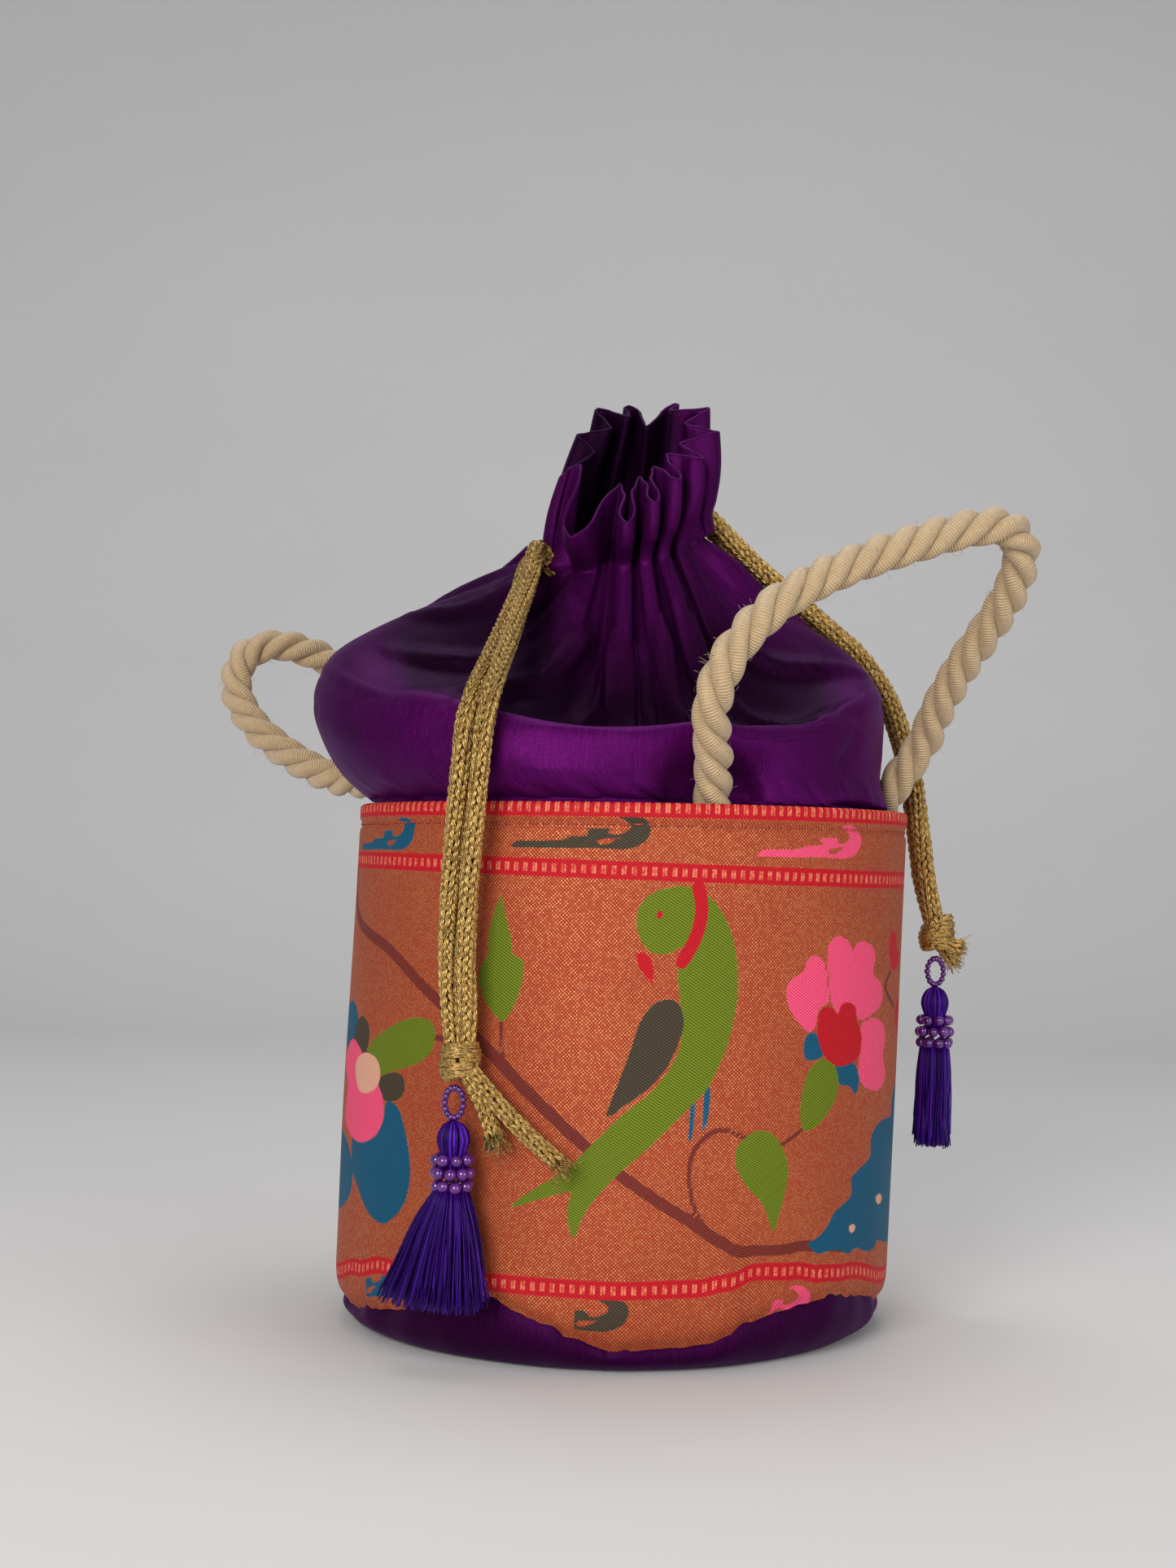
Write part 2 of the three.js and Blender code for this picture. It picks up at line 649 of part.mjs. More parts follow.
// tassel of silk: head, core through the bead collar and a spreading skirt
function tasselSolid(top, outward, skirtLength, halfWide, halfDeep, leanX) {
  const collarTop = top.z - headHeight - clearance;
  const collarBottom = collarTop - collarHeight;
  const skirtTop = collarBottom - clearance;
  const rows = [[top.z, 1.6, 1.6, 0], [top.z - 1.6, headRadius * 0.8, headRadius * 0.8, 0],
    [top.z - headHeight * 0.6, headRadius, headRadius * 0.95, 0],
    [top.z - headHeight, headRadius * 0.95, headRadius * 0.9, 0],
    [top.z - headHeight - 0.01, coreRadius, coreRadius, 0],
    [skirtTop + 0.01, coreRadius, coreRadius, 0], [skirtTop, 4.4, 4, 0],
    [skirtTop - skirtLength * 0.3, mix(4.6, halfWide, 0.42), mix(4.2, halfDeep, 0.42), 0.25],
    [skirtTop - skirtLength * 0.65, mix(4.8, halfWide, 0.76), mix(4.2, halfDeep, 0.76), 0.6],
    [skirtTop - skirtLength, halfWide, halfDeep, 1]];
  const side = point(-outward.y, outward.x, 0);
  const rings = rows.map(([z, w, d, t]) => {
    const ring = [];
    for (let k = 0; k < 20; k++) {
      const a = k / 20 * 2 * Math.PI;
      const strand = t > 0 ? 1 + 0.05 * t * Math.cos(10 * a) : 1;
      ring.push(point(top.x + leanX * t, top.y, z)
        .addScaledVector(side, Math.cos(a) * w * strand)
        .addScaledVector(outward, Math.sin(a) * d * strand));
    }
    return ring;
  });
  return { geometry: ringSolid(rings, false), collarBottom };
}

// collar: rows of round beads sewn edge to edge round the core
function collarSolid(centre, bottom) {
  const n = collarBeads * 4;
  const stepsUp = 3;
  const rings = [];
  const ring = (radiusOf, z) => {
    const out = [];
    for (let k = 0; k < n; k++) {
      out.push(polar(centre.x, centre.y, radiusOf(k), k / n * 360, z));
    }
    return out;
  };
  const rowHeight = collarHeight / collarRows;
  const thin = coreRadius + clearance + 0.5;
  rings.push(ring(() => coreRadius + clearance, bottom));
  for (let j = 0; j <= collarRows * stepsUp; j++) {
    const v = (j % stepsUp) / stepsUp;
    const row = Math.floor(Math.min(j, collarRows * stepsUp - 1) / stepsUp);
    const up = Math.sin(v * Math.PI);
    rings.push(ring((k) => {
      const phase = ((k + (row % 2) * 2) % 4) / 4 * 2 * Math.PI;
      const bead = 0.5 + 0.5 * Math.cos(phase);
      return mix(thin, collarRadius, Math.max(0.12, up) * (0.45 + 0.55 * bead));
    }, bottom + j / stepsUp * rowHeight));
  }
  rings.push(ring(() => coreRadius + clearance, bottom + collarHeight));
  return ringSolid(rings, true);
}

// small beads strung into the loop that hangs the tassel from the knot
function loopSolid(centre) {
  const n = 40;
  const rings = [];
  for (let k = 0; k < n; k++) {
    const a = k / n * 2 * Math.PI;
    const bead = loopTube * (k % 4 === 0 ? 0.72 : 1.02);
    const way = point(Math.cos(a), 0, Math.sin(a));
    const ring = [];
    for (let j = 0; j < 6; j++) {
      const b = j / 6 * 2 * Math.PI;
      ring.push(point(centre.x + Math.cos(a) * (loopHalfWidth - loopTube),
        centre.y, centre.z + Math.sin(a) * (loopHalfHeight - loopTube))
        .addScaledVector(way, Math.cos(b) * bead)
        .add(point(0, Math.sin(b) * bead, 0)));
    }
    rings.push(ring);
  }
  return ringSolid(rings, true);
}

function tasselSet(knot, axis, skirtLength, halfWide, halfDeep, leanX) {
  const outward = point(axis.x, axis.y, 0).normalize();
  const loopTop = knot.z - knotHeight / 2 - clearance;
  const loopCentre = point(axis.x, axis.y, loopTop - loopHalfHeight);
  const top = point(axis.x, axis.y, loopTop - 2 * loopHalfHeight - clearance);
  const silk = tasselSolid(top, outward, skirtLength, halfWide, halfDeep, leanX);
  return {
    silk: silk.geometry,
    collar: collarSolid(top, silk.collarBottom),
    loop: loopSolid(loopCentre),
  };
}

const leftTassel = tasselSet(leftKnot, polar(bodyAxis(50), 0, tasselStandOff, -28.6, 0),
  28, 12.5, 6, -2.5);
const rightTassel = tasselSet(rightKnot, point(90.3, 14, 0), 27, 5.6, 5, -0.5);

function material(colour, roughness, metalness) {
  return new THREE.MeshStandardMaterial({ color: colour, roughness, metalness });
}

const group = new THREE.Group();
function place(name, geometry, look) {
  geometry.computeVertexNormals();
  const mesh = new THREE.Mesh(geometry, look);
  mesh.name = name;
  group.add(mesh);
}

place("base_panel", baseSolid(), material(0x2a0a45, 0.45, 0));
place("base_board", boardSolid(), material(0x8f8674, 0.9, 0));
place("brocade_band", bandSolid(), material(0xc46a45, 0.5, 0.25));
place("lining", liningSolid(), material(0x3a1a50, 0.8, 0));
place("satin_pouch", fromManifold(satinSolid), material(0x35104f, 0.38, 0));
place("handle_right", rightHandle.geometry, material(0xc8ae86, 0.6, 0));
place("handle_left", leftHandle.geometry, material(0xc8ae86, 0.6, 0));
place("drawcord_left", leftCord.geometry, material(0xbe963c, 0.35, 0.7));
place("drawcord_right", rightCord.geometry, material(0xbe963c, 0.35, 0.7));
place("tassel_left", leftTassel.silk, material(0x3c14a0, 0.5, 0));
place("tassel_right", rightTassel.silk, material(0x3c14a0, 0.5, 0));
place("bead_collar_left", leftTassel.collar, material(0x782896, 0.2, 0.1));
place("bead_collar_right", rightTassel.collar, material(0x782896, 0.2, 0.1));
place("bead_loop_left", leftTassel.loop, material(0x5a2880, 0.2, 0.1));
place("bead_loop_right", rightTassel.loop, material(0x5a2880, 0.2, 0.1));

export default group;
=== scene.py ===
import json
import math
import bpy
import numpy as np
from mathutils import Matrix, Vector

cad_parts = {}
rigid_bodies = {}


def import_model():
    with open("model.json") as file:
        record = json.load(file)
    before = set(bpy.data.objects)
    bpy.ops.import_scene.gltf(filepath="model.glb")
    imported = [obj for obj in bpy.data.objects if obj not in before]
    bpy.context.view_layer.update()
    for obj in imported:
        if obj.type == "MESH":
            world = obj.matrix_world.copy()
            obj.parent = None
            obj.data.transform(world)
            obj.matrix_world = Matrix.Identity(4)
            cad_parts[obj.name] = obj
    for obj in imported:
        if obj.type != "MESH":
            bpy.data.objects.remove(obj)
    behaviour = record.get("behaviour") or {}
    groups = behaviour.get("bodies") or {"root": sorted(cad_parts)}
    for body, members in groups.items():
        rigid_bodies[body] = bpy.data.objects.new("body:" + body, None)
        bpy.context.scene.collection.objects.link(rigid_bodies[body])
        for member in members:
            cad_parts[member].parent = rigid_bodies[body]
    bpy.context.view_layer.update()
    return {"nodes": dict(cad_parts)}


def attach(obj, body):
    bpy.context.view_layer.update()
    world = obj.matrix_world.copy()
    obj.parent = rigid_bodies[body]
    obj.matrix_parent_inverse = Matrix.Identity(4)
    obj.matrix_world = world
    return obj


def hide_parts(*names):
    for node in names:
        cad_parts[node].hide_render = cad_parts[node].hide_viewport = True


for old in list(bpy.data.objects):
    bpy.data.objects.remove(old)
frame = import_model()
mm = 0.001

# shared shape
body = {
    "radius": 76.0, "top": 140.0, "cornerHeight": 16.0, "cornerInset": 5.0,
    "axisAtGround": -1.6, "axisAtRim": 3.2, "thickness": 1.5,
}
neck = {"x": -1.5, "y": -1.5, "radius": 18.6, "height": 216.0, "slopeX": 0.2, "slopeY": 0.34}
shoulderAxis = -6.9
seamRows = [(-160, 9), (-120, 10), (-66, 6), (-58, 8), (-47, 10), (-36, 15.5), (-28, 18), (-23, 17.6),
            (-18, 14.6), (-13, 11.8), (-7.5, 9), (1, 5.8), (13.5, 6.6), (20, 7.4), (24, 9.4), (28.5, 12),
            (34, 13.8), (41, 15), (49, 15.6), (58, 13.6), (80, 8), (120, 10.5), (160, 7.5)]


def ease(t):
    t = np.clip(t, 0, 1)
    return t * t * (3 - 2 * t)


def mix(a, b, t):
    return a + (b - a) * t


def bodyAxis(z):
    return mix(body["axisAtGround"], body["axisAtRim"], np.clip(np.asarray(z) / body["top"], 0, 1))


def bodyOuter(z):
    t = np.clip((body["cornerHeight"] - np.asarray(z)) / body["cornerHeight"], 0, 1)
    return body["radius"] - body["cornerInset"] * t * t


def around(rows, angle):  # smooth value at angles in degrees from rows of (angle, value)
    rows = sorted(rows)
    xs = [r[0] for r in rows]
    ys = [r[1] for r in rows]
    xs = [xs[-1] - 360] + xs + [xs[0] + 360]
    ys = [ys[-1]] + ys + [ys[0]]
    a = (np.asarray(angle, float) - xs[0]) % 360 + xs[0]
    k = np.clip(np.searchsorted(xs, a, side="right") - 1, 0, len(xs) - 2)
    x0 = np.take(xs, k)
    x1 = np.take(xs, k + 1)
    return mix(np.take(ys, k), np.take(ys, k + 1), ease((a - x0) / (x1 - x0)))


def polar(cx, cy, radius, angle, z):
    a = np.radians(angle)
    x = cx + radius * np.sin(a)
    y = cy - radius * np.cos(a)
    return np.stack(np.broadcast_arrays(x, y, np.asarray(z, float)), -1)


def runLength(points):  # distance along a path at each of its points
    return np.concatenate([[0], np.cumsum(np.linalg.norm(np.diff(points, axis=0), axis=1))])


def turnFrom(zero, angle):  # signed degrees from one angle to another
    return (angle - zero + 180) % 360 - 180


def hermite(a, b, c, d, f):  # smooth value between b and c, with a and d as their neighbours
    m1, m2 = (c - a) / 2, (d - b) / 2
    return ((2 * f**3 - 3 * f**2 + 1) * b + (f**3 - 2 * f**2 + f) * m1
            + (-2 * f**3 + 3 * f**2) * c + (f**3 - f**2) * m2)


def smoothPath(points, step=None, count=None):  # centripetal curve through points, evenly spaced
    p = np.asarray(points, float)
    ext = np.vstack([2 * p[0] - p[1], p, 2 * p[-1] - p[-2]])
    fine = []
    for i in range(len(p) - 1):
        a, b, c, d = ext[i:i + 4]
        t0 = 0.0
        t1 = t0 + np.linalg.norm(b - a) ** 0.5
        t2 = t1 + np.linalg.norm(c - b) ** 0.5
        t3 = t2 + np.linalg.norm(d - c) ** 0.5
        t = np.linspace(t1, t2, 40, endpoint=False)[:, None]
        a1 = (t1 - t) / (t1 - t0) * a + (t - t0) / (t1 - t0) * b
        a2 = (t2 - t) / (t2 - t1) * b + (t - t1) / (t2 - t1) * c
        a3 = (t3 - t) / (t3 - t2) * c + (t - t2) / (t3 - t2) * d
        b1 = (t2 - t) / (t2 - t0) * a1 + (t - t0) / (t2 - t0) * a2
        b2 = (t3 - t) / (t3 - t1) * a2 + (t - t1) / (t3 - t1) * a3
        fine.append((t2 - t) / (t2 - t1) * b1 + (t - t1) / (t2 - t1) * b2)
    fine = np.vstack(fine + [p[-1:]])
    run = runLength(fine)
    if count is None:
        count = max(2, int(round(run[-1] / step)))
    s = np.linspace(0, run[-1], count + 1)
    return np.stack([np.interp(s, run, fine[:, k]) for k in range(3)], -1), run[-1]


def pathFrames(points):
    along = np.gradient(points, axis=0)
    along /= np.linalg.norm(along, axis=1)[:, None]
    side = np.zeros_like(points)
    s = np.array([0, 0, 1.0]) if abs(along[0, 2]) < 0.9 else np.array([1.0, 0, 0])
    for i in range(len(points)):
        s = s - along[i] * np.dot(s, along[i])
        s = s / np.linalg.norm(s)
        side[i] = s
    return along, side, np.cross(along, side)


def tubeSkin(path, radius, sides):  # rings of points round a path, and each one's place along and round it
    _, side, other = pathFrames(path)
    r = np.broadcast_to(np.asarray(radius, float), (len(path),))
    a = np.arange(sides) / sides * 2 * math.pi
    ring = side[:, None] * np.cos(a)[None, :, None] + other[:, None] * np.sin(a)[None, :, None]
    place = np.zeros((len(path), sides, 3))
    place[..., 0] = runLength(path)[:, None] * mm
    place[..., 1] = a[None, :] / (2 * math.pi)
    return path[:, None] + ring * r[:, None, None], place


def surfaceNormal(grid):  # for rows of points that close round
    du = np.roll(grid, -1, 1) - np.roll(grid, 1, 1)
    normal = np.cross(du, np.gradient(grid, axis=0))
    return normal / np.maximum(np.linalg.norm(normal, axis=-1, keepdims=True), 1e-9)


# mesh makers
def makeMesh(name, verts, faces, material, attributes):
    mesh = bpy.data.meshes.new(name)
    mesh.from_pydata((np.asarray(verts) * mm).tolist(), [], [list(map(int, f)) for f in faces])
    mesh.update()
    mesh.polygons.foreach_set("use_smooth", [True] * len(mesh.polygons))
    for key, values in attributes.items():
        values = np.asarray(values, float)
        kind = "FLOAT" if values.ndim == 1 else "FLOAT_VECTOR"
        layer = mesh.attributes.new(key, kind, "POINT")
        layer.data.foreach_set("value" if values.ndim == 1 else "vector", values.ravel())
    obj = bpy.data.objects.new(name, mesh)
    bpy.context.scene.collection.objects.link(obj)
    mesh.materials.append(material)
    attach(obj, "root")
    return obj


def dress(obj, replaced):  # hides the solid that a piece stands in for
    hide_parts(replaced)
    return obj


def gridFaces(rows, cols, offset=0):  # faces of rows of points that close round
    jj, ii = np.meshgrid(np.arange(rows - 1), np.arange(cols), indexing="ij")
    a = jj * cols + ii
    b = jj * cols + (ii + 1) % cols
    c = (jj + 1) * cols + (ii + 1) % cols
    d = (jj + 1) * cols + ii
    return (np.stack([a, b, c, d], -1).reshape(-1, 4) + offset).tolist()


class Bundle:  # gathers many tubes or blobs into one mesh with shared point attributes
    def __init__(self):
        self.verts = []
        self.faces = []
        self.along = []
        self.tone = []
        self.count = 0

    def grid(self, points, along, tone):
        rows, cols = points.shape[:2]
        last = self.count + (rows - 1) * cols
        self.verts.append(points.reshape(-1, 3))
        self.faces += gridFaces(rows, cols, self.count)
        self.faces.append(list(range(self.count + cols - 1, self.count - 1, -1)))
        self.faces.append(list(range(last, last + cols)))
        self.along.append(along.reshape(-1, 3))
        self.tone.append(np.full(rows * cols, tone))
        self.count += rows * cols

    def tube(self, path, radius, sides=6, tone=0.0):
        self.grid(*tubeSkin(path, radius, sides), tone)

    def ball(self, centre, radius, sides=14, rows=9, tone=0.0, hole=None):
        v = (np.arange(rows) + 0.5) / rows * math.pi
        a = np.arange(sides) / sides * 2 * math.pi
        pts = np.stack([np.sin(v)[:, None] * np.cos(a), np.sin(v)[:, None] * np.sin(a),
                        np.repeat(-np.cos(v)[:, None], sides, 1)], -1)
        if hole is not None:
            z = np.asarray(hole, float) / np.linalg.norm(hole)
            x = np.cross(z, [0.3, 0.5, 0.8])
            x /= np.linalg.norm(x)
            y = np.cross(z, x)
            pts = pts[..., :1] * x + pts[..., 1:2] * y + pts[..., 2:] * z
        uv = np.zeros(pts.shape)
        uv[..., 1] = a[None, :] / (2 * math.pi)
        uv[..., 0] = v[:, None] / math.pi
        self.grid(np.asarray(centre) + pts * radius, uv, tone)

    def build(self, name, material):
        return makeMesh(name, np.vstack(self.verts), self.faces, material,
                        {"along": np.vstack(self.along), "tone": np.concatenate(self.tone)})


# shader helpers
def node(tree, kind, inputs=None, **settings):
    n = tree.nodes.new(kind)
    for key, value in settings.items():
        setattr(n, key, value)
    for key, value in (inputs or {}).items():
        socket = n.inputs[key]
        if isinstance(value, bpy.types.NodeSocket):
            tree.links.new(value, socket)
        else:
            socket.default_value = value
    return n


def calc(tree, operation, a, b=0.0, clamp=False):
    return node(tree, "ShaderNodeMath", {0: a, 1: b}, operation=operation, use_clamp=clamp).outputs[0]


def times(tree, a, b):
    return calc(tree, "MULTIPLY", a, b)


def plus(tree, a, b, clamp=False):
    return calc(tree, "ADD", a, b, clamp=clamp)


def minus(tree, a, b):
    return calc(tree, "SUBTRACT", a, b)


def remap(tree, value, low, high, toLow=0.0, toHigh=1.0):  # value between low and high, to a new range
    return node(tree, "ShaderNodeMapRange", {0: value, 1: low, 2: high, 3: toLow, 4: toHigh}).outputs[0]


def mixColour(tree, factor, a, b):
    return node(tree, "ShaderNodeMix", {0: factor, 6: a, 7: b}, data_type="RGBA").outputs[2]


def rgb(red, green, blue):  # picture colour 0..255 to linear
    out = []
    for v in (red, green, blue):
        v = v / 255
        out.append(v / 12.92 if v <= 0.04045 else ((v + 0.055) / 1.055) ** 2.4)
    return (*out, 1.0)


def newMaterial(name, constants):
    material = bpy.data.materials.new(name)
    material.use_nodes = True
    tree = material.node_tree
    principled = tree.nodes["Principled BSDF"]
    for key, value in constants.items():
        principled.inputs[key].default_value = value
    return material, tree, principled


def attribute(tree, name, output="Vector"):
    return node(tree, "ShaderNodeAttribute", attribute_name=name).outputs[output]


def bump(tree, height, strength, distance):
    return node(tree, "ShaderNodeBump",
                {"Height": height, "Strength": strength, "Distance": distance}).outputs[0]


def finishLook(tree, shade, colour, height, strength, distance, rough=None):  # what most looks end with
    tree.links.new(colour, shade.inputs["Base Color"])
    tree.links.new(bump(tree, height, strength, distance), shade.inputs["Normal"])
    if rough:
        tree.links.new(rough, shade.inputs["Roughness"])


def newGroup(name, takes, gives):  # a shader group with named sockets; numbers in, values out
    group = bpy.data.node_groups.new(name, "ShaderNodeTree")
    for label, kind, value in takes:
        socket = group.interface.new_socket(name=label, in_out="INPUT", socket_type="NodeSocket" + kind)
        socket.default_value = value
    for label in gives:
        group.interface.new_socket(name=label, in_out="OUTPUT", socket_type="NodeSocketFloat")
    inside = group.nodes.new("NodeGroupInput").outputs
    outside = group.nodes.new("NodeGroupOutput").inputs
    return group, inside, outside


# streaks of drawn fibres and a soft cloudiness, for every cloth, rope and thread of the bag
def fibreGroup():
    group, inside, outside = newGroup("fibre_grain", [
        ("Place", "Vector", (0.0, 0.0, 0.0)), ("Stretch", "Vector", (900.0, 90.0, 1.0)),
        ("Cloud Scale", "Float", 30.0), ("Cloud Share", "Float", 0.5)], ["Fibre", "Cloud", "Tone"])
    laid = node(group, "ShaderNodeVectorMath", {0: inside["Place"], 1: inside["Stretch"]},
                operation="MULTIPLY").outputs[0]
    fibre = node(group, "ShaderNodeTexNoise",
                 {"Vector": laid, "Scale": 1.0, "Detail": 4.0, "Roughness": 0.68}).outputs[0]
    cloud = node(group, "ShaderNodeTexNoise",
                 {"Vector": inside["Place"], "Detail": 3.0, "Scale": inside["Cloud Scale"]}).outputs[0]
    rest = minus(group, 1.0, inside["Cloud Share"])
    tone = plus(group, times(group, cloud, inside["Cloud Share"]), times(group, fibre, rest), clamp=True)
    group.links.new(fibre, outside["Fibre"])
    group.links.new(cloud, outside["Cloud"])
    group.links.new(tone, outside["Tone"])
    return group


# the lay of a twisted thread: x runs along it, y once round it
def twistGroup():
    group, inside, outside = newGroup("thread_twist", [
        ("Place", "Vector", (0.0, 0.0, 0.0)), ("Run", "Float", 2000.0), ("Turns", "Float", 1.0)], ["Wave"])
    parts = node(group, "ShaderNodeSeparateXYZ", {0: inside["Place"]})
    run = times(group, parts.outputs[0], inside["Run"])
    turn = times(group, parts.outputs[1], times(group, inside["Turns"], 2 * math.pi))
    group.links.new(calc(group, "SINE", plus(group, run, turn)), outside["Wave"])
    return group


fibreGrain = fibreGroup()
threadTwist = twistGroup()


def fibres(tree, place, stretch, cloudScale, share):
    return node(tree, "ShaderNodeGroup",
                {"Place": place, "Stretch": stretch, "Cloud Scale": cloudScale, "Cloud Share": share},
                node_tree=fibreGrain).outputs


def twist(tree, place, run, turns):
    return node(tree, "ShaderNodeGroup", {"Place": place, "Run": run, "Turns": turns},
                node_tree=threadTwist).outputs["Wave"]


print("stage: helpers ready")

# camera
view = {"focal": 2600.0, "distance": 594.0, "eye": 125.0, "axisPixel": 765.0,
        "horizonPixel": 1060.0, "roll": math.radians(1.0), "height": 1927,
        "middleX": 722.5, "middleY": 963.5}


def addCamera():
    f = view["focal"]
    look = Vector((-(view["axisPixel"] - view["middleX"]) / f, 1.0,
                   (view["horizonPixel"] - view["middleY"]) / f))
    look.normalize()
    right0 = look.cross(Vector((0, 0, 1))).normalized()
    up0 = right0.cross(look)
    c, s = math.cos(view["roll"]), math.sin(view["roll"])
    right = right0 * c + up0 * s
    up = up0 * c - right0 * s
    matrix = Matrix((right, up, -look)).transposed().to_4x4()
    matrix.translation = Vector((0, -view["distance"] * mm, view["eye"] * mm))
    data = bpy.data.cameras.new("camera")
    data.sensor_fit = "VERTICAL"
    data.sensor_height = 36.0
    data.lens = 36.0 * f / view["height"]
    camera = bpy.data.objects.new("camera", data)
    camera.matrix_world = matrix
    bpy.context.scene.collection.objects.link(camera)
    bpy.context.scene.camera = camera
    data.dof.use_dof = False


addCamera()


def unroll(px, py):
    s = math.sin(view["roll"])
    return px + (py - view["middleY"]) * s, py - (px - view["middleX"]) * s


def onBand(px, py):  # picture point to cloth place (mm round from the front, height)
    radius = body["radius"]
    x, y = unroll(px, py)
    depth = view["distance"] - radius
    for _ in range(12):
        z = view["eye"] - (y - view["horizonPixel"]) * depth / view["focal"]
        wide = (x - view["axisPixel"]) * depth / view["focal"] - float(bodyAxis(z))
        s = max(-0.985, min(0.985, wide / radius))
        depth = view["distance"] - radius * math.sqrt(1 - s * s)
    return radius * math.asin(s), z


# light and ground
def addStage():
    scene = bpy.context.scene
    world = bpy.data.worlds.new("world")
    world.use_nodes = True
    world.node_tree.nodes["Background"].inputs[0].default_value = (0.93, 0.93, 0.95, 1)
    world.node_tree.nodes["Background"].inputs[1].default_value = 0.37
    scene.world = world
    lights = [
        ("key", (-0.42, -1.2, 0.5), 0.6, 11.6, (1.0, 0.97, 0.93)),
        ("fill", (0.85, -0.85, 0.36), 0.8, 5.0, (1.0, 0.98, 0.95)),
        ("top", (0.0, 0.25, 1.25), 0.7, 4.5, (1.0, 0.98, 0.96)),
    ]
    for name, place, size, power, colour in lights:
        data = bpy.data.lights.new(name, "AREA")
        data.size = size
        data.energy = power
        data.color = colour
        obj = bpy.data.objects.new(name, data)
        scene.collection.objects.link(obj)
        obj.location = place
        way = Vector((0, 0, 0.13)) - Vector(place)
        obj.rotation_euler = way.to_track_quat("-Z", "Y").to_euler()
    material, tree, shade = newMaterial("ground", {"Roughness": 0.85})
    cloud = node(tree, "ShaderNodeTexNoise", {"Scale": 14.0, "Detail": 5.0})
    ramp = mixColour(tree, cloud.outputs[0], (0.66, 0.66, 0.67, 1), (0.72, 0.72, 0.72, 1))
    finishLook(tree, shade, ramp, cloud.outputs[0], 0.1, 0.001)
    mesh = bpy.data.meshes.new("ground")
    reach, back = 3.0, 0.9
    profile = [(-reach, 0.0), (back, 0.0)]
    for k in range(1, 13):
        a = k / 12 * math.pi / 2
        profile.append((back + 0.5 * math.sin(a), 0.5 - 0.5 * math.cos(a)))
    profile.append((back + 0.5, 2.6))
    verts = [(x, y, z - 0.0002) for y, z in profile for x in (-reach, reach)]
    faces = [(2 * k, 2 * k + 1, 2 * k + 3, 2 * k + 2) for k in range(len(profile) - 1)]
    mesh.from_pydata(verts, [], faces)
    mesh.polygons.foreach_set("use_smooth", [True] * len(mesh.polygons))
    mesh.materials.append(material)
    floor = bpy.data.objects.new("ground", mesh)
    scene.collection.objects.link(floor)
    scene.view_settings.view_transform = "Standard"


addStage()
print("stage: camera and lights ready")

# rope handles
rope = {
    "radius": 5.0, "lay": 25.0, "strand": 2.42, "offset": 2.56, "endThickness": 4.4,
    "sewnFrom": 129.5, "sewnWay": 10.5, "wrapPitch": 0.62, "fibres": 150, "tufts": 14, "tuftHeight": 171,
    "light": rgb(218, 192, 150), "dark": rgb(138, 108, 72),
}
rimInner = body["radius"] - body["thickness"] - 0.3
handleRoots = {"rightFront": 17, "rightSide": 88, "leftSide": -104, "leftBack": -172}


def rootPoints(angle, towards):
    rows = [(rope["sewnFrom"], rimInner - rope["endThickness"] / 2, 0), (134.5, rimInner - 4.3, 0.05),
            (139.5, rimInner - rope["radius"] - 0.75, 0.15), (145.5, rimInner - rope["radius"] + 1.9, 0.5),
            (152, rimInner - rope["radius"] + 7, 1)]
    return [polar(bodyAxis(z), 0, r, angle + towards * t, z) for z, r, t in rows]


rightHandlePath = rootPoints(handleRoots["rightFront"], -2.5) + [
    (21.5, -83, 165), (27, -84, 178), (38, -80, 189.5), (52, -74, 198), (69, -67.5, 205),
    (85, -62, 210.5), (96.5, -57, 212), (101.5, -51, 207.5), (101, -43, 199), (97, -34, 190),
    (91, -25, 180), (86, -16, 169), (83, -9, 160),
] + rootPoints(handleRoots["rightSide"], -4)[:4][::-1]
leftHandlePath = rootPoints(handleRoots["leftSide"], -1)[:4] + [
    (-85, 31, 148.5), (-99, 38, 155), (-112, 44, 165), (-118.5, 49, 176), (-117, 53, 186),
    (-109, 57, 190.5), (-97, 62, 188.5), (-83, 68, 181), (-66, 75, 172), (-47, 81, 163),
    (-28, 83, 155.5),
] + rootPoints(handleRoots["leftBack"], -6)[:4][::-1]


def ropeMaterial():
    material, tree, shade = newMaterial("rope_cotton",
                                        {"Roughness": 0.48, "Sheen Weight": 0.35, "Sheen Roughness": 0.4})
    at = attribute(tree, "along")
    wave = twist(tree, at, 2 * math.pi / (rope["wrapPitch"] * mm), 0.0)
    grain = fibres(tree, at, (900.0, 5.0, 1.0), 90.0, 0.5)
    height = plus(tree, times(tree, wave, 0.42), times(tree, grain["Fibre"], 1.2))
    tone = plus(tree, times(tree, height, 0.38), times(tree, grain["Cloud"], 0.55), clamp=True)
    finishLook(tree, shade, mixColour(tree, tone, rope["dark"], rope["light"]), height, 0.8, 0.0003)
    return material


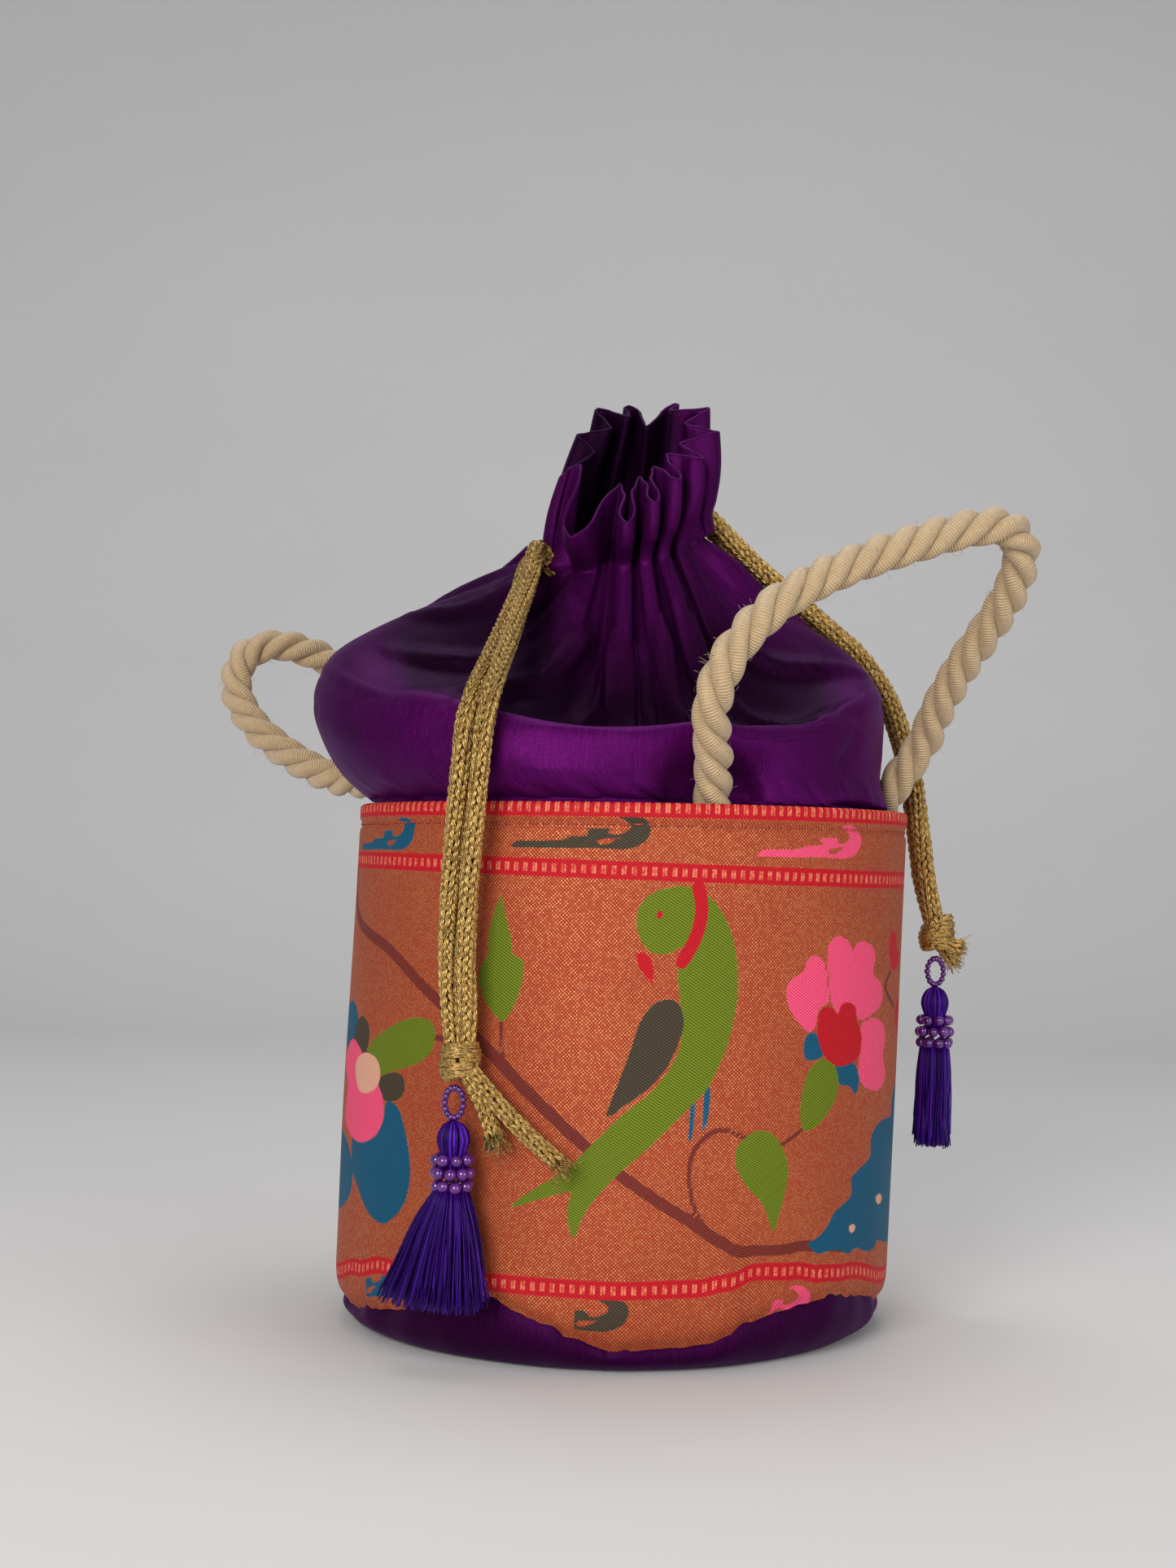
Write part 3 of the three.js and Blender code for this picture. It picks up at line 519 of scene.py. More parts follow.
def handle(name, path, material, seed, replaced, tufts):
    samples, length = smoothPath(path, 0.8)
    along, side, other = pathFrames(samples)
    s = np.linspace(0, length, len(samples))
    fromEnd = np.minimum(s, length - s)
    flat = mix(rope["endThickness"] / (2 * rope["radius"]), 1, ease(fromEnd / rope["sewnWay"]))
    wide = mix(1.25, 1, ease(fromEnd / rope["sewnWay"]))
    outward = samples - np.stack([bodyAxis(samples[:, 2]), 0 * s, samples[:, 2]], -1)
    outward[:, 2] = 0
    outward /= np.linalg.norm(outward, axis=1)[:, None]
    gen = np.random.default_rng(seed)
    bundle = Bundle()
    wobble = np.interp(s, np.linspace(0, length, 30), gen.normal(0, 0.09, 30))
    for k in range(3):
        a = k / 3 * 2 * math.pi - s / rope["lay"] * 2 * math.pi + wobble
        radius = rope["strand"] + np.interp(s, np.linspace(0, length, 40), gen.normal(0, 0.06, 40))
        centre = samples + (side * np.cos(a)[:, None] + other * np.sin(a)[:, None]) * rope["offset"]
        pts, place = tubeSkin(centre, radius, 14)
        q = pts - samples[:, None]
        depth = np.sum(q * outward[:, None], -1, keepdims=True)
        q = (q - outward[:, None] * depth) * wide[:, None, None] \
            + outward[:, None] * depth * flat[:, None, None]
        bundle.grid(samples[:, None] + q, place, k / 3)
    # loose fibres standing off the strands
    for _ in range(rope["fibres"]):
        i = gen.integers(20, len(samples) - 20)
        a = gen.uniform(0, 2 * math.pi)
        way = side[i] * math.cos(a) + other[i] * math.sin(a)
        start = samples[i] + way * 4.7
        bend = along[i] * gen.normal(0, 1.0) + gen.normal(0, 0.5, 3)
        reach = gen.uniform(0.5, 1.7)
        hair = np.array([start, start + way * reach * 0.5 + bend * 0.4,
                         start + way * reach * 0.8 + bend * 1.1])
        bundle.tube(hair, 0.045, 3, 0.5)
    # tufts where the wrapping has worn on the front bend
    for _ in range(tufts):
        i = int(np.argmin(np.abs(samples[:len(samples) // 3, 2] - gen.normal(rope["tuftHeight"], 2.2))))
        way = np.array([-0.75, -0.5, 0.35]) + gen.normal(0, 0.25, 3)
        start = samples[i] + way / np.linalg.norm(way) * 4.4
        reach = gen.uniform(0.8, 2.3)
        hair = np.array([start, start + way * reach * 0.5 + gen.normal(0, 0.4, 3),
                         start + way * reach + gen.normal(0, 1.0, 3)])
        bundle.tube(hair, 0.05, 3, 0.5)
    dress(bundle.build(name, material), replaced)


ropeLook = ropeMaterial()
handle("rope_handle_right", rightHandlePath, ropeLook, 3, "handle_right", rope["tufts"])
handle("rope_handle_left", leftHandlePath, ropeLook, 5, "handle_left", 0)
print("stage: handles ready")

# drawcords
cord = {
    "radius": 2.6, "spacing": 5.7, "step": 3.1, "leftExit": -62, "rightExit": 98,
    "wales": 4, "stitch": 2.45, "plait": 1.7, "yarn": 0.66, "twist": 1.6,
    "knotWidth": 9.0, "knotHeight": 11.0, "knotTurns": 5, "frayThreads": 46,
}


def neckShear(x, y):
    return neck["slopeX"] * (x - neck["x"]) + neck["slopeY"] * (y - neck["y"])


def neckPoint(radius, angle, level, across=0.0):
    a = math.radians(angle)
    x = neck["x"] + radius * math.sin(a) + across * math.cos(a)
    y = neck["y"] - radius * math.cos(a) + across * math.sin(a)
    return np.array([x, y, neck["height"] + level + neckShear(x, y)])


def strandPair(middle, spread):
    middle = np.asarray(middle, float)
    left, right = [], []
    for i, p in enumerate(middle):
        a = middle[max(0, i - 1)]
        b = middle[min(len(middle) - 1, i + 1)]
        along = (b - a) / np.linalg.norm(b - a)
        outward = np.array([p[0], p[1], 0]) / math.hypot(p[0], p[1])
        across = np.cross(along, outward)
        across /= np.linalg.norm(across)
        left.append(p - across * spread[i] / 2)
        right.append(p + across * spread[i] / 2)
    return left, right


def zariMaterial():
    material, tree, shade = newMaterial("gold_braid", {"Roughness": 0.3, "Metallic": 0.75})
    at = attribute(tree, "along")
    threads = twist(tree, at, 2300.0, 7.0)
    place = node(tree, "ShaderNodeTexCoord")
    glint = node(tree, "ShaderNodeTexVoronoi", {"Vector": place.outputs["Object"], "Scale": 1900.0})
    grain = fibres(tree, place.outputs["Object"], (700.0, 700.0, 700.0), 300.0, 0.3)
    spark = node(tree, "ShaderNodeSeparateColor", {0: glint.outputs["Color"]}).outputs[0]
    # painted highlight: random sparkles and the ridges of the twisted yarns are lit towards pale gold
    tone = plus(tree, times(tree, spark, 0.5), plus(tree, times(tree, threads, 0.24), 0.12), clamp=True)
    low = mixColour(tree, grain["Tone"], rgb(86, 46, 12), rgb(158, 102, 34))
    colour = mixColour(tree, tone, low, rgb(255, 226, 142))
    # painted shade: pieces of low tone, the core and the knot's middle, take a dark brown for the shadow
    # between stitches
    lit = remap(tree, attribute(tree, "tone", "Fac"), 0.0, 0.45, 0.0, 1.0)
    colour = mixColour(tree, lit, rgb(70, 44, 12), colour)
    height = plus(tree, times(tree, threads, 0.5), times(tree, spark, 0.6))
    finishLook(tree, shade, colour, height, 0.8, 0.00018, remap(tree, spark, 0.0, 1.0, 0.2, 0.5))
    return material


zari = zariMaterial()


# round chain-knit cord of gold yarns: wales of V stitches over a core coloured dark, as painted shade in
# the gaps between the stitches
def braid(name, path, seed, radius=1.0, fray=0.0):
    samples, length = smoothPath(path, 0.4)
    along, side, other = pathFrames(samples)
    bundle = Bundle()
    gen = np.random.default_rng(seed)
    # the core, at tone zero, is painted dark as the shade between the stitches
    bundle.tube(np.vstack([samples[:-1:3], samples[-1:]]), 1.3 * radius, 8, 0.0)
    pitch = cord["stitch"]
    step = length / (len(samples) - 1)
    t = np.linspace(0, 1, 6)
    for wale in range(cord["wales"]):
        for i in range(int(length / pitch)):
            s0 = (i + 0.5 * (wale % 2)) * pitch + gen.normal(0, 0.07)
            for sign in (-1, 1):
                run = np.clip(s0 + t * pitch * 1.32, 0, length - 0.01)
                turn = (wale + 0.5) / cord["wales"] * 360 + run * cord["twist"] + gen.normal(0, 2.5)
                a = np.radians(turn + sign * (37 - 31 * t))
                r = radius * (1.55 + 0.42 * np.sin(math.pi * t) + gen.normal(0, 0.05))
                at = run / step
                k = np.clip(at.astype(int), 0, len(samples) - 2)
                f = (at - k)[:, None]
                middle = samples[k] * (1 - f) + samples[k + 1] * f
                line = middle + (side[k] * np.cos(a)[:, None] + other[k] * np.sin(a)[:, None]) * r[:, None]
                thick = cord["yarn"] * radius * (0.62 + 0.38 * np.sin(math.pi * (0.12 + 0.8 * t)))
                bundle.tube(line, thick, 7, gen.uniform(0.45, 1.0))
    # stray metallic filaments
    for _ in range(int(length * 0.5)):
        i = gen.integers(2, len(samples) - 2)
        a = gen.uniform(0, 2 * math.pi)
        out = side[i] * math.cos(a) + other[i] * math.sin(a)
        hairStart = samples[i] + out * cord["plait"] * radius * 1.35
        hair = np.array([hairStart, hairStart + out * 0.35 + along[i] * gen.normal(0, 0.6),
                         hairStart + out * 0.1 + along[i] * gen.normal(0, 1.2)])
        bundle.tube(hair, 0.05, 3, gen.uniform(0.5, 1))
    if fray:
        end, way = samples[-1], along[-1]
        for _ in range(cord["frayThreads"]):
            reach = gen.uniform(0.4, 1.0) * fray
            base = end + side[-1] * gen.normal(0, 1.0) + other[-1] * gen.normal(0, 0.8) - way * 1.5
            out = way * reach + side[-1] * gen.normal(0, 0.35) * reach \
                + other[-1] * gen.normal(0, 0.3) * reach
            middle = base + out * 0.5 + gen.normal(0, 0.35, 3)
            bundle.tube(np.array([base, middle, base + out]), gen.uniform(0.07, 0.16), 3,
                        gen.uniform(0.5, 1))
    return bundle.build(name, zari), samples, length


leftHang = 83.1
leftKnot = polar(bodyAxis(76), 0, leftHang, -28.5, 76)
leftMiddle = [(-25, -15.5, 209), (-27.2, -27, 199.5), (-30, -45, 187), (-32.6, -61, 176),
              (-35, -72.5, 166.5), (-36.6, -76.2, 158), (-37.4, -76, 148), (-38.4, -75.2, 136),
              (-39.6, -74.2, 118), (-40, -73.4, 100), (-39.2, -73.2, 88), leftKnot]
leftSpread = [5.3, 5.3, 5.3, 5.4, 5.5, 5.6, 5.6, 5.5, 5.4, 5.3, 5.0, 2.5]
rightKnot = np.array([90.6, 14, 106])
rightMiddle = [(21, 4, 224), (37, 6.5, 209.5), (53.5, 9, 196), (66.5, 11, 185), (75, 12.5, 173.5),
               (80, 13.5, 161), (82.8, 14, 150), (84.8, 14, 136), (87, 14, 121), rightKnot]
rightSpread = [5.7, 5.9, 6, 6, 6, 6, 6, 6, 5.6, 2.5]


def knotPiece(name, centre, seed):  # overhand knot: braided turns pulled tight round each other
    gen = np.random.default_rng(seed)
    bundle = Bundle()
    w, h = cord["knotWidth"] / 2, cord["knotHeight"] / 2
    for k in range(cord["knotTurns"]):
        level = mix(-h * 0.55, h * 0.6, k / (cord["knotTurns"] - 1))
        tilt = gen.normal(0.25, 0.12)
        size = w * (0.72 + 0.22 * math.sin(math.pi * (k + 0.7) / 5.4))
        t = np.linspace(0, 2 * math.pi * 0.97, 34) + gen.uniform(0, 6)
        ring = np.stack([np.cos(t) * size, np.sin(t) * size * 0.84,
                         level + tilt * size * np.cos(t) + 0.1 * np.sin(3 * t)], -1)
        line = centre + ring
        _, side, other = pathFrames(line)
        for j in range(5):
            a = j / 5 * 2 * math.pi + np.linspace(0, 5, len(t))
            path = line + (side * np.cos(a)[:, None] + other * np.sin(a)[:, None]) * 0.72
            bundle.tube(path, 0.55, 6, gen.uniform(0.4, 1))
    # the knot's middle ball has a low tone and is painted dark, as painted shade between the turns
    bundle.ball(centre, w * 0.78, 12, 8, 0.1)
    return bundle.build(name, zari)


leftTails = [[leftKnot, (-34.5, -73.9, 69), (-31.8, -74.6, 63), (-29.6, -75.4, 57.5)],
             [leftKnot, (-32.5, -75.4, 69.5), (-26.5, -77.8, 63.5), (-20, -79.6, 57.5), (-14, -80.9, 52.5)]]
rightTails = [[rightKnot, (94, 13, 103.4), (97.4, 12.4, 102.6)],
              [rightKnot, (93.4, 16.5, 101.8), (96.2, 18.4, 98.4)]]
cordPieces = {}


def drawcord(which, exitAngle, level, middle, spread, knot, tails, seed):
    pair = strandPair(middle, spread)
    a = math.radians(exitAngle)
    across = np.array([math.cos(a), math.sin(a), 0])
    firstAhead = np.dot(pair[1][0] - pair[0][0], across) > 0
    ahead, behind = (pair[1], pair[0]) if firstAhead else (pair[0], pair[1])
    half = cord["spacing"] / 2
    pieces = [knotPiece("knot_" + which, np.asarray(knot), seed)]
    for k, tail in enumerate(tails):
        obj, _, _ = braid(f"tail_{which}_{k + 1}", tail, seed + 20 + k, radius=0.92,
                          fray=6.5 if which == "left" else 4.0)
        pieces.append(obj)
    out = []
    for k, (strand, sign) in enumerate(((ahead, 1), (behind, -1))):
        path = [neckPoint(18, exitAngle, level, sign * half * 0.45),
                neckPoint(21.5, exitAngle, level, sign * half * 0.75)]
        path += list(strand)
        obj, samples, length = braid(f"drawcord_{which}_{'ab'[k]}", path, seed + k)
        out.append((obj, samples, length))
    for piece in pieces + [o[0] for o in out]:
        dress(piece, "drawcord_" + which)
    cordPieces[which] = pieces


drawcord("left", cord["leftExit"], -cord["step"], leftMiddle, leftSpread, leftKnot, leftTails, 11)
drawcord("right", cord["rightExit"], cord["step"], rightMiddle, rightSpread, rightKnot, rightTails, 41)
print("stage: drawcords ready")

# satin pouch
# the near-black third colour below is painted shade, laid over the satin where it lies in shadow
satin = {
    "dark": rgb(22, 2, 25), "bright": rgb(108, 15, 112), "paintedShade": rgb(13, 1, 11), "thread": 0.00016,
    "columnsPerFold": 18, "crisp": 0.62, "ply": 0.9, "pouchGirth": 465, "baseGirth": 430,
}
# folds of the gather, front first: angle, how far out, hem height; then the hollow after it
hemFolds = [
    (-27, 30.0, 211.5, -11, 12.5, 229.0),
    (3, 25.5, 216.0, 11, 12.5, 231.0),
    (20, 24.5, 222.0, 27, 12.5, 234.0),
    (36, 23.5, 229.0, 45, 12.5, 238.0),
    (58, 23.0, 236.0, 72, 12.5, 242.0),
    (88, 22.5, 246.0, 104, 13.0, 249.0),
    (122, 23.0, 255.5, 138, 13.5, 254.0),
    (154, 21.5, 258.0, 168, 8.0, 249.0),
    (-170, 20.5, 257.5, -158, 10.0, 252.0),
    (-143, 21.5, 256.0, -127, 10.5, 248.0),
    (-106, 18.5, 246.0, -90, 12.0, 240.0),
    (-64, 22.0, 231.0, -50, 19.0, 234.0),
]
hemLean = (3.2, -3.5)


def foldCurves():  # hem and gather as closed curves through the same folds, equal samples per fold
    per = satin["columnsPerFold"]
    keys = []
    for a1, r1, z1, a2, r2, z2 in hemFolds:
        keys.append((a1, r1, z1, 1.0))
        keys.append((a2, r2, z2, -1.0))
    keys = np.array(keys, float)
    angle = keys[:, 0].copy()
    for i in range(1, len(angle)):
        while angle[i] < angle[i - 1]:
            angle[i] += 360
    n = len(keys)
    t = np.arange(n * per // 2) / (per // 2)
    i = np.floor(t).astype(int)
    f = t - i

    def wrap(values, k, turn=0.0):
        return values[k % n] + turn * (k // n)

    def curve(values, turn=0.0):
        a, b, c, d = (wrap(values, i + k, turn) for k in (-1, 0, 1, 2))
        return mix(hermite(a, b, c, d, f), b + (c - b) * f, satin["crisp"])

    theta = curve(angle, 360.0)
    lobe = curve(keys[:, 3])
    radius = curve(keys[:, 1])
    height = curve(keys[:, 2])
    # cloth bows out inside each fold, so the fold is wider than its mouth
    theta = theta + 3.4 * np.sin(2 * np.pi * t) * (radius > 15)
    return theta, lobe, radius, height


def smoothRound(values, reach):
    k = np.arange(-reach, reach + 1)
    w = np.exp(-(k / (reach / 2)) ** 2)
    w /= w.sum()
    ext = np.concatenate([values[-reach:], values, values[:reach]])
    return np.convolve(ext, w, mode="valid")


# the upper cloth from the rim to the gather: radius and, for each, heights round the bag
stationRadius = np.array([73.0, 77.2, 79.6, 79.4, 77.4, 73.6, 67.0, 58.0, 46.0, 34.0, 25.5])
stationHeights = [
    [(0, 140.8)],
    [(-90, 150), (-45, 146), (0, 143.6), (45, 145), (90, 147.5), (180, 149.5)],
    [(-90, 165), (-45, 154.5), (0, 148), (45, 151), (90, 158), (180, 162)],
    [(-90, 174), (-45, 161), (0, 153.6), (45, 157), (90, 166.5), (180, 170)],
    [(-90, 180.5), (-45, 166), (0, 157.4), (45, 161.5), (90, 174), (180, 177)],
    [(-90, 185), (-45, 168.5), (0, 158), (45, 163.2), (90, 179.5), (180, 182)],
    [(-90, 189.5), (-45, 168.5), (0, 151.5), (45, 159.5), (90, 185), (180, 187)],
    [(-90, 194.5), (-45, 170), (0, 149), (45, 158.5), (90, 190.5), (180, 192)],
    [(-90, 200.5), (-45, 176), (0, 153.5), (45, 166), (90, 196), (180, 198)],
    [(-90, 207), (-45, 187), (0, 168), (45, 180), (90, 204), (180, 206)],
    [(-90, 212), (-45, 199), (0, 187), (45, 196), (90, 211.5), (180, 214.5)],
]
# pull lines of the gather: angle and station of each point, width, height (minus is a hollow)
pullLines = [
    ([(-6, 9.9), (-12, 8.4), (-20, 7.2), (-30, 6.2)], 3.6, 4.2),
    ([(-18, 9.9), (-30, 8.3), (-42, 7.0), (-50, 5.8)], 3.4, 3.4),
    ([(10, 9.9), (8, 8.6), (6, 7.4)], 3.0, 3.0),
    ([(24, 9.9), (24, 8.4), (30, 7.0), (34, 6.2)], 3.4, 3.8),
    ([(40, 9.9), (44, 8.2), (54, 6.8), (62, 5.6)], 3.2, 3.6),
    ([(60, 9.9), (66, 8.2), (74, 6.4), (82, 5.0)], 3.2, 3.0),
    ([(86, 9.9), (92, 7.8), (98, 6.0)], 3.0, 2.6),
    ([(-40, 9.9), (-54, 8.2), (-64, 7.0), (-72, 6.2)], 3.4, 3.0),
    ([(-62, 9.9), (-74, 8.0), (-84, 6.9)], 3.2, 2.4),
    ([(-88, 9.9), (-100, 7.8), (-112, 6.0), (-122, 4.6)], 3.6, 2.8),
    ([(-118, 9.9), (-128, 7.8), (-138, 6.0)], 3.6, 2.8),
    ([(-146, 9.9), (-152, 7.6), (-156, 5.8)], 3.6, 3.0),
    ([(172, 9.9), (174, 7.8), (178, 5.6)], 3.6, 3.0),
    ([(142, 9.9), (142, 7.6), (138, 5.8)], 3.6, 2.8),
    ([(114, 9.9), (116, 7.8), (118, 5.6)], 3.4, 2.8),
    ([(-48, 4.6), (-66, 4.1), (-86, 3.7)], 2.6, 0.8),
    ([(-56, 3.3), (-74, 3.0), (-90, 3.0)], 3.4, 0.7),
    ([(54, 5.2), (66, 4.4), (84, 3.9)], 2.8, 1.2),
    ([(26, 5.4), (38, 4.9), (48, 5.4)], 7.0, -3.4),
    ([(-12, 2.6), (-2, 2.9), (8, 2.5)], 5.0, -0.8),
    ([(-34, 2.2), (-28, 3.4)], 4.0, -0.9),
    ([(52, 1.9), (60, 3.2)], 3.5, -0.9),
    ([(-78, 1.6), (-72, 2.6)], 3.0, -0.9),
]


def nearestGap(points, path, tangent, share):
    best = np.full(points.shape[0], 1e9)
    for q in path:
        d = points - q
        along = np.sum(d * tangent, -1)
        best = np.minimum(best, np.sum(d * d, -1) - along**2 * (1 - share**2))
    return np.sqrt(np.maximum(best, 0))


ropePaths = np.vstack([smoothPath(p, 1.6)[0] for p in (rightHandlePath, leftHandlePath)])
ropePaths = ropePaths[ropePaths[:, 2] < 185]
cordPaths = np.vstack([smoothPath(p, 2.2)[0] for p in (leftMiddle, rightMiddle)])
cordPaths = cordPaths[cordPaths[:, 2] > 140]


def giveWay(points, cx, cy, down):  # cloth pressed in where a handle or a drawcord lies against it
    out = points.copy()
    for _ in range(70):
        probe = out.copy()
        probe[:, 2] = np.maximum(probe[:, 2], rope["sewnFrom"] + 2)
        way = np.stack([cx - out[:, 0], cy - out[:, 1], 0 * out[:, 0]], -1)
        way /= np.linalg.norm(way, axis=1)[:, None]
        tangent = np.stack([-way[:, 1], way[:, 0], 0 * way[:, 0]], -1)
        ropeGap = nearestGap(probe, ropePaths, tangent, 0.42) - rope["radius"] - 0.4
        cordGap = nearestGap(out, cordPaths, tangent, 0.9) - cord["radius"] - cord["spacing"] / 2 - 0.2
        short = (ropeGap < 0) | (cordGap < 0)
        if not short.any():
            break
        step = way * 0.3
        step[:, 2] = -0.25 * down
        out[short] += step[short]
    return out


def pouchSurface():
    theta, lobe, hemR, hemZ = foldCurves()
    cols = len(theta)
    even = theta[0] + np.arange(cols) / cols * 360
    calm = even + smoothRound(theta - even, 26)
    rows = []
    # inside the band and up over the bulge
    for z in np.linspace(127.5, 139.5, 7):
        cx = float(bodyAxis(z))
        rows.append((polar(cx, 0, rimInner - 0.1, even, z + 0 * even), cx, 0.0, 0.0, even))
    # station rows, resampled smoothly
    m = len(stationRadius)
    hs = np.array([around(h, even) for h in stationHeights])
    drift = [float(ease(k / (m - 3))) for k in range(m - 2)]
    cxs = np.array([float(bodyAxis(140)), -2.6] + [mix(shoulderAxis, neck["x"], d) for d in drift])
    cys = np.array([0, 1.4] + [mix(2.4, neck["y"], d) for d in drift])
    fine = np.linspace(0, m - 1, 76)

    def spline(values, t):
        k = np.clip(np.floor(t).astype(int), 0, m - 2)
        before, after = values[np.clip(k - 1, 0, m - 1)], values[np.clip(k + 2, 0, m - 1)]
        return hermite(before, values[k], values[k + 1], after, t - k)

    neckWave = lobe * (1 + 0.25 * np.sin(np.arange(cols) / cols * 2 * np.pi * 5))
    softWave = smoothRound(neckWave, 5)
    for t in fine:
        r = float(spline(stationRadius, t))
        cx, cy = float(spline(cxs, t)), float(spline(cys, t))
        near = float(np.clip((62 - r) / 40, 0, 1)) ** 1.6
        angle = mix(calm, theta, near)
        z = spline(hs, t)
        wave = mix(softWave, neckWave, near)
        depth = 4.4 * near
        rr = r + wave * depth * 0.6
        zz = around(list(zip(turnFrom(0, even), z)), angle) + wave * depth * 0.68
        rows.append((polar(cx, cy, rr, angle, zz), cx, cy, 1.0 if t > 3 else 0.0, angle))
    first = len(rows) - len(fine)
    grid = np.array([row[0] for row in rows])
    normal = surfaceNormal(grid)
    shift = np.zeros(grid.shape[:2])
    for places, width, tall in pullLines:
        line = []
        for angle, t in places:
            k = first + int(round(t / (m - 1) * (len(fine) - 1)))
            line.append(grid[k, int(np.argmin(np.abs(turnFrom(angle, rows[k][4]))))])
        line = smoothPath(np.array(line), 2.0)[0]
        span = runLength(line)
        span /= span[-1]
        for place, u in zip(line, span):
            d = np.linalg.norm(grid - place, axis=-1)
            fade = min(1.0, (1 - u) * 3.0 + 0.05) * min(1.0, u * 6 + 0.25)
            bell = tall * fade * (np.exp(-(d / width) ** 2) - 0.3 * np.exp(-(d / width / 2.4) ** 2))
            shift = np.where(np.abs(bell) > np.abs(shift), bell, shift)
    shift[:first + 2] = 0
    # small puckers where the cloth is sewn in at the rim
    sewn = np.exp(-((grid[..., 2] - 142) / 5.0) ** 2)
    shift += sewn * (0.32 * np.sin(even * 0.62)[None, :] + 0.22 * np.sin(even * 1.13 + 2)[None, :])
    shift[:first] = 0
    for k in range(first, len(rows)):
        p, cx, cy, down, angle = rows[k]
        rows[k] = (p + normal[k] * shift[k][:, None], cx, cy, down, angle)
    # gather: tight folds under the channel, then the ruffle out to the hem
    waistR = neck["radius"] - 0.4 + lobe * 3.3
    covered = np.zeros(len(theta))
    for exitAngle in (cord["leftExit"], cord["rightExit"]):
        cover = np.exp(-(turnFrom(exitAngle, theta) / 25) ** 4)
        waistR = waistR * (1 - cover) + (neck["radius"] + 4.4) * cover
        covered = np.maximum(covered, cover)
    waist = polar(neck["x"], neck["y"], waistR, theta, 0)
    last = rows[-1][0]
    waist[:, 2] = neck["height"] - 3.5 + neckShear(waist[:, 0], waist[:, 1])
    for f in np.linspace(0.14, 1, 8):
        p = mix(last, waist, f)
        rows.append((p, neck["x"], neck["y"], 0.0, theta))
    hem = polar(neck["x"] + hemLean[0], neck["y"] + hemLean[1], hemR, theta, hemZ)
    hem[:, 0] = neck["x"] + hemLean[0] * ease((hemZ - 210) / 45) * 1.6 + hemR * np.sin(np.radians(theta))
    start = len(rows)
    for f in np.linspace(0.055, 1, 26):
        bow = math.sin(math.pi * f)
        p = mix(waist, hem, f)
        out = p - np.array([neck["x"], neck["y"], 0])
        out[:, 2] = 0
        out /= np.linalg.norm(out, axis=1)[:, None]
        lift = 3.4 * np.exp(-(f / 0.2) ** 2) * covered
        p = p + out * lift[:, None]
        pinch = 0.8 * math.sin(math.pi * min(1, f * 3))
        p = p + out * (bow * (0.9 + 1.3 * np.clip(lobe, 0, 1)) - pinch)[:, None]
        rows.append((p, neck["x"], neck["y"], 0.0, theta))
    plain = np.array([row[0] for row in rows])
    points = plain.copy()
    for turn in range(4):
        for k in range(start - 8):
            points[k] = giveWay(points[k], rows[k][1], rows[k][2], rows[k][3])
        if turn < 3:
            points = plain + smoothGrid(points - plain, 5 - turn)
    return points, start


def smoothGrid(field, passes):  # soften a field over the surface: round it wraps, along it the ends stay
    out = field.copy()
    for _ in range(passes * 2):
        out = out * 0.4 + (np.roll(out, 1, 1) + np.roll(out, -1, 1)) * 0.3
        out[1:-1] = out[1:-1] * 0.6 + (out[:-2] + out[2:]) * 0.2
    return out


def clothPlace(rows, cols, girth, run):  # where each point lies on the flat cloth, in metres
    place = np.zeros((rows, cols, 3))
    place[..., 0] = (np.arange(cols) / cols * girth * mm)[None, :]
    place[..., 1] = run * mm
    return place.reshape(-1, 3)


def gridRun(points):  # distance along each column of points
    run = np.zeros(points.shape[:2])
    run[1:] = np.cumsum(np.linalg.norm(np.diff(points, axis=0), axis=-1), axis=0)
    return run


def satinMaterial():
    material, tree, shade = newMaterial("purple_satin",
                                        {"Roughness": 0.4, "Metallic": 0.45, "Sheen Weight": 0.03,
                                         "Sheen Roughness": 0.35, "Specular IOR Level": 0.09})
    shade.inputs["Sheen Tint"].default_value = (0.55, 0.12, 0.75, 1)
    shade.inputs["Specular Tint"].default_value = (0.75, 0.4, 1.0, 1)
    at = attribute(tree, "cloth")
    parts = node(tree, "ShaderNodeSeparateXYZ", {0: at})
    warp = calc(tree, "SINE", times(tree, parts.outputs[0], 2 * math.pi / satin["thread"] / 3))
    weft = calc(tree, "SINE", times(tree, parts.outputs[1], 2 * math.pi / satin["thread"] / 4))
    grain = fibres(tree, at, (1500.0, 90.0, 1.0), 26.0, 0.4)
    pile = node(tree, "ShaderNodeTexNoise", {"Vector": at, "Scale": 1700.0, "Detail": 2.0}).outputs[0]
    height = plus(tree, times(tree, times(tree, warp, weft), 0.25),
                  plus(tree, grain["Fibre"], times(tree, pile, 0.7)))
    # a wider spread of the grain shows single bright threads between darker ones
    tone = remap(tree, plus(tree, times(tree, grain["Tone"], 0.62), times(tree, pile, 0.38)), 0.3, 0.7)
    colour = mixColour(tree, tone, satin["dark"], satin["bright"])
    # painted shade: the satin is darkened towards nearly black where the pouch lies in shadow, in the dish
    # under the gather, on two flanks and in the ruffle
    cloudy = times(tree, minus(tree, grain["Cloud"], 0.5), 0.5)
    paintedShadeMask = remap(tree, plus(tree, attribute(tree, "paintedShade", "Fac"), cloudy), 0.1, 0.95, 0.0, 0.95)
    colour = mixColour(tree, paintedShadeMask, colour, satin["paintedShade"])
    finishLook(tree, shade, colour, height, 0.45, 0.00014, remap(tree, grain["Fibre"], 0.3, 0.7, 0.36, 0.5))
    return material


satinLook = satinMaterial()


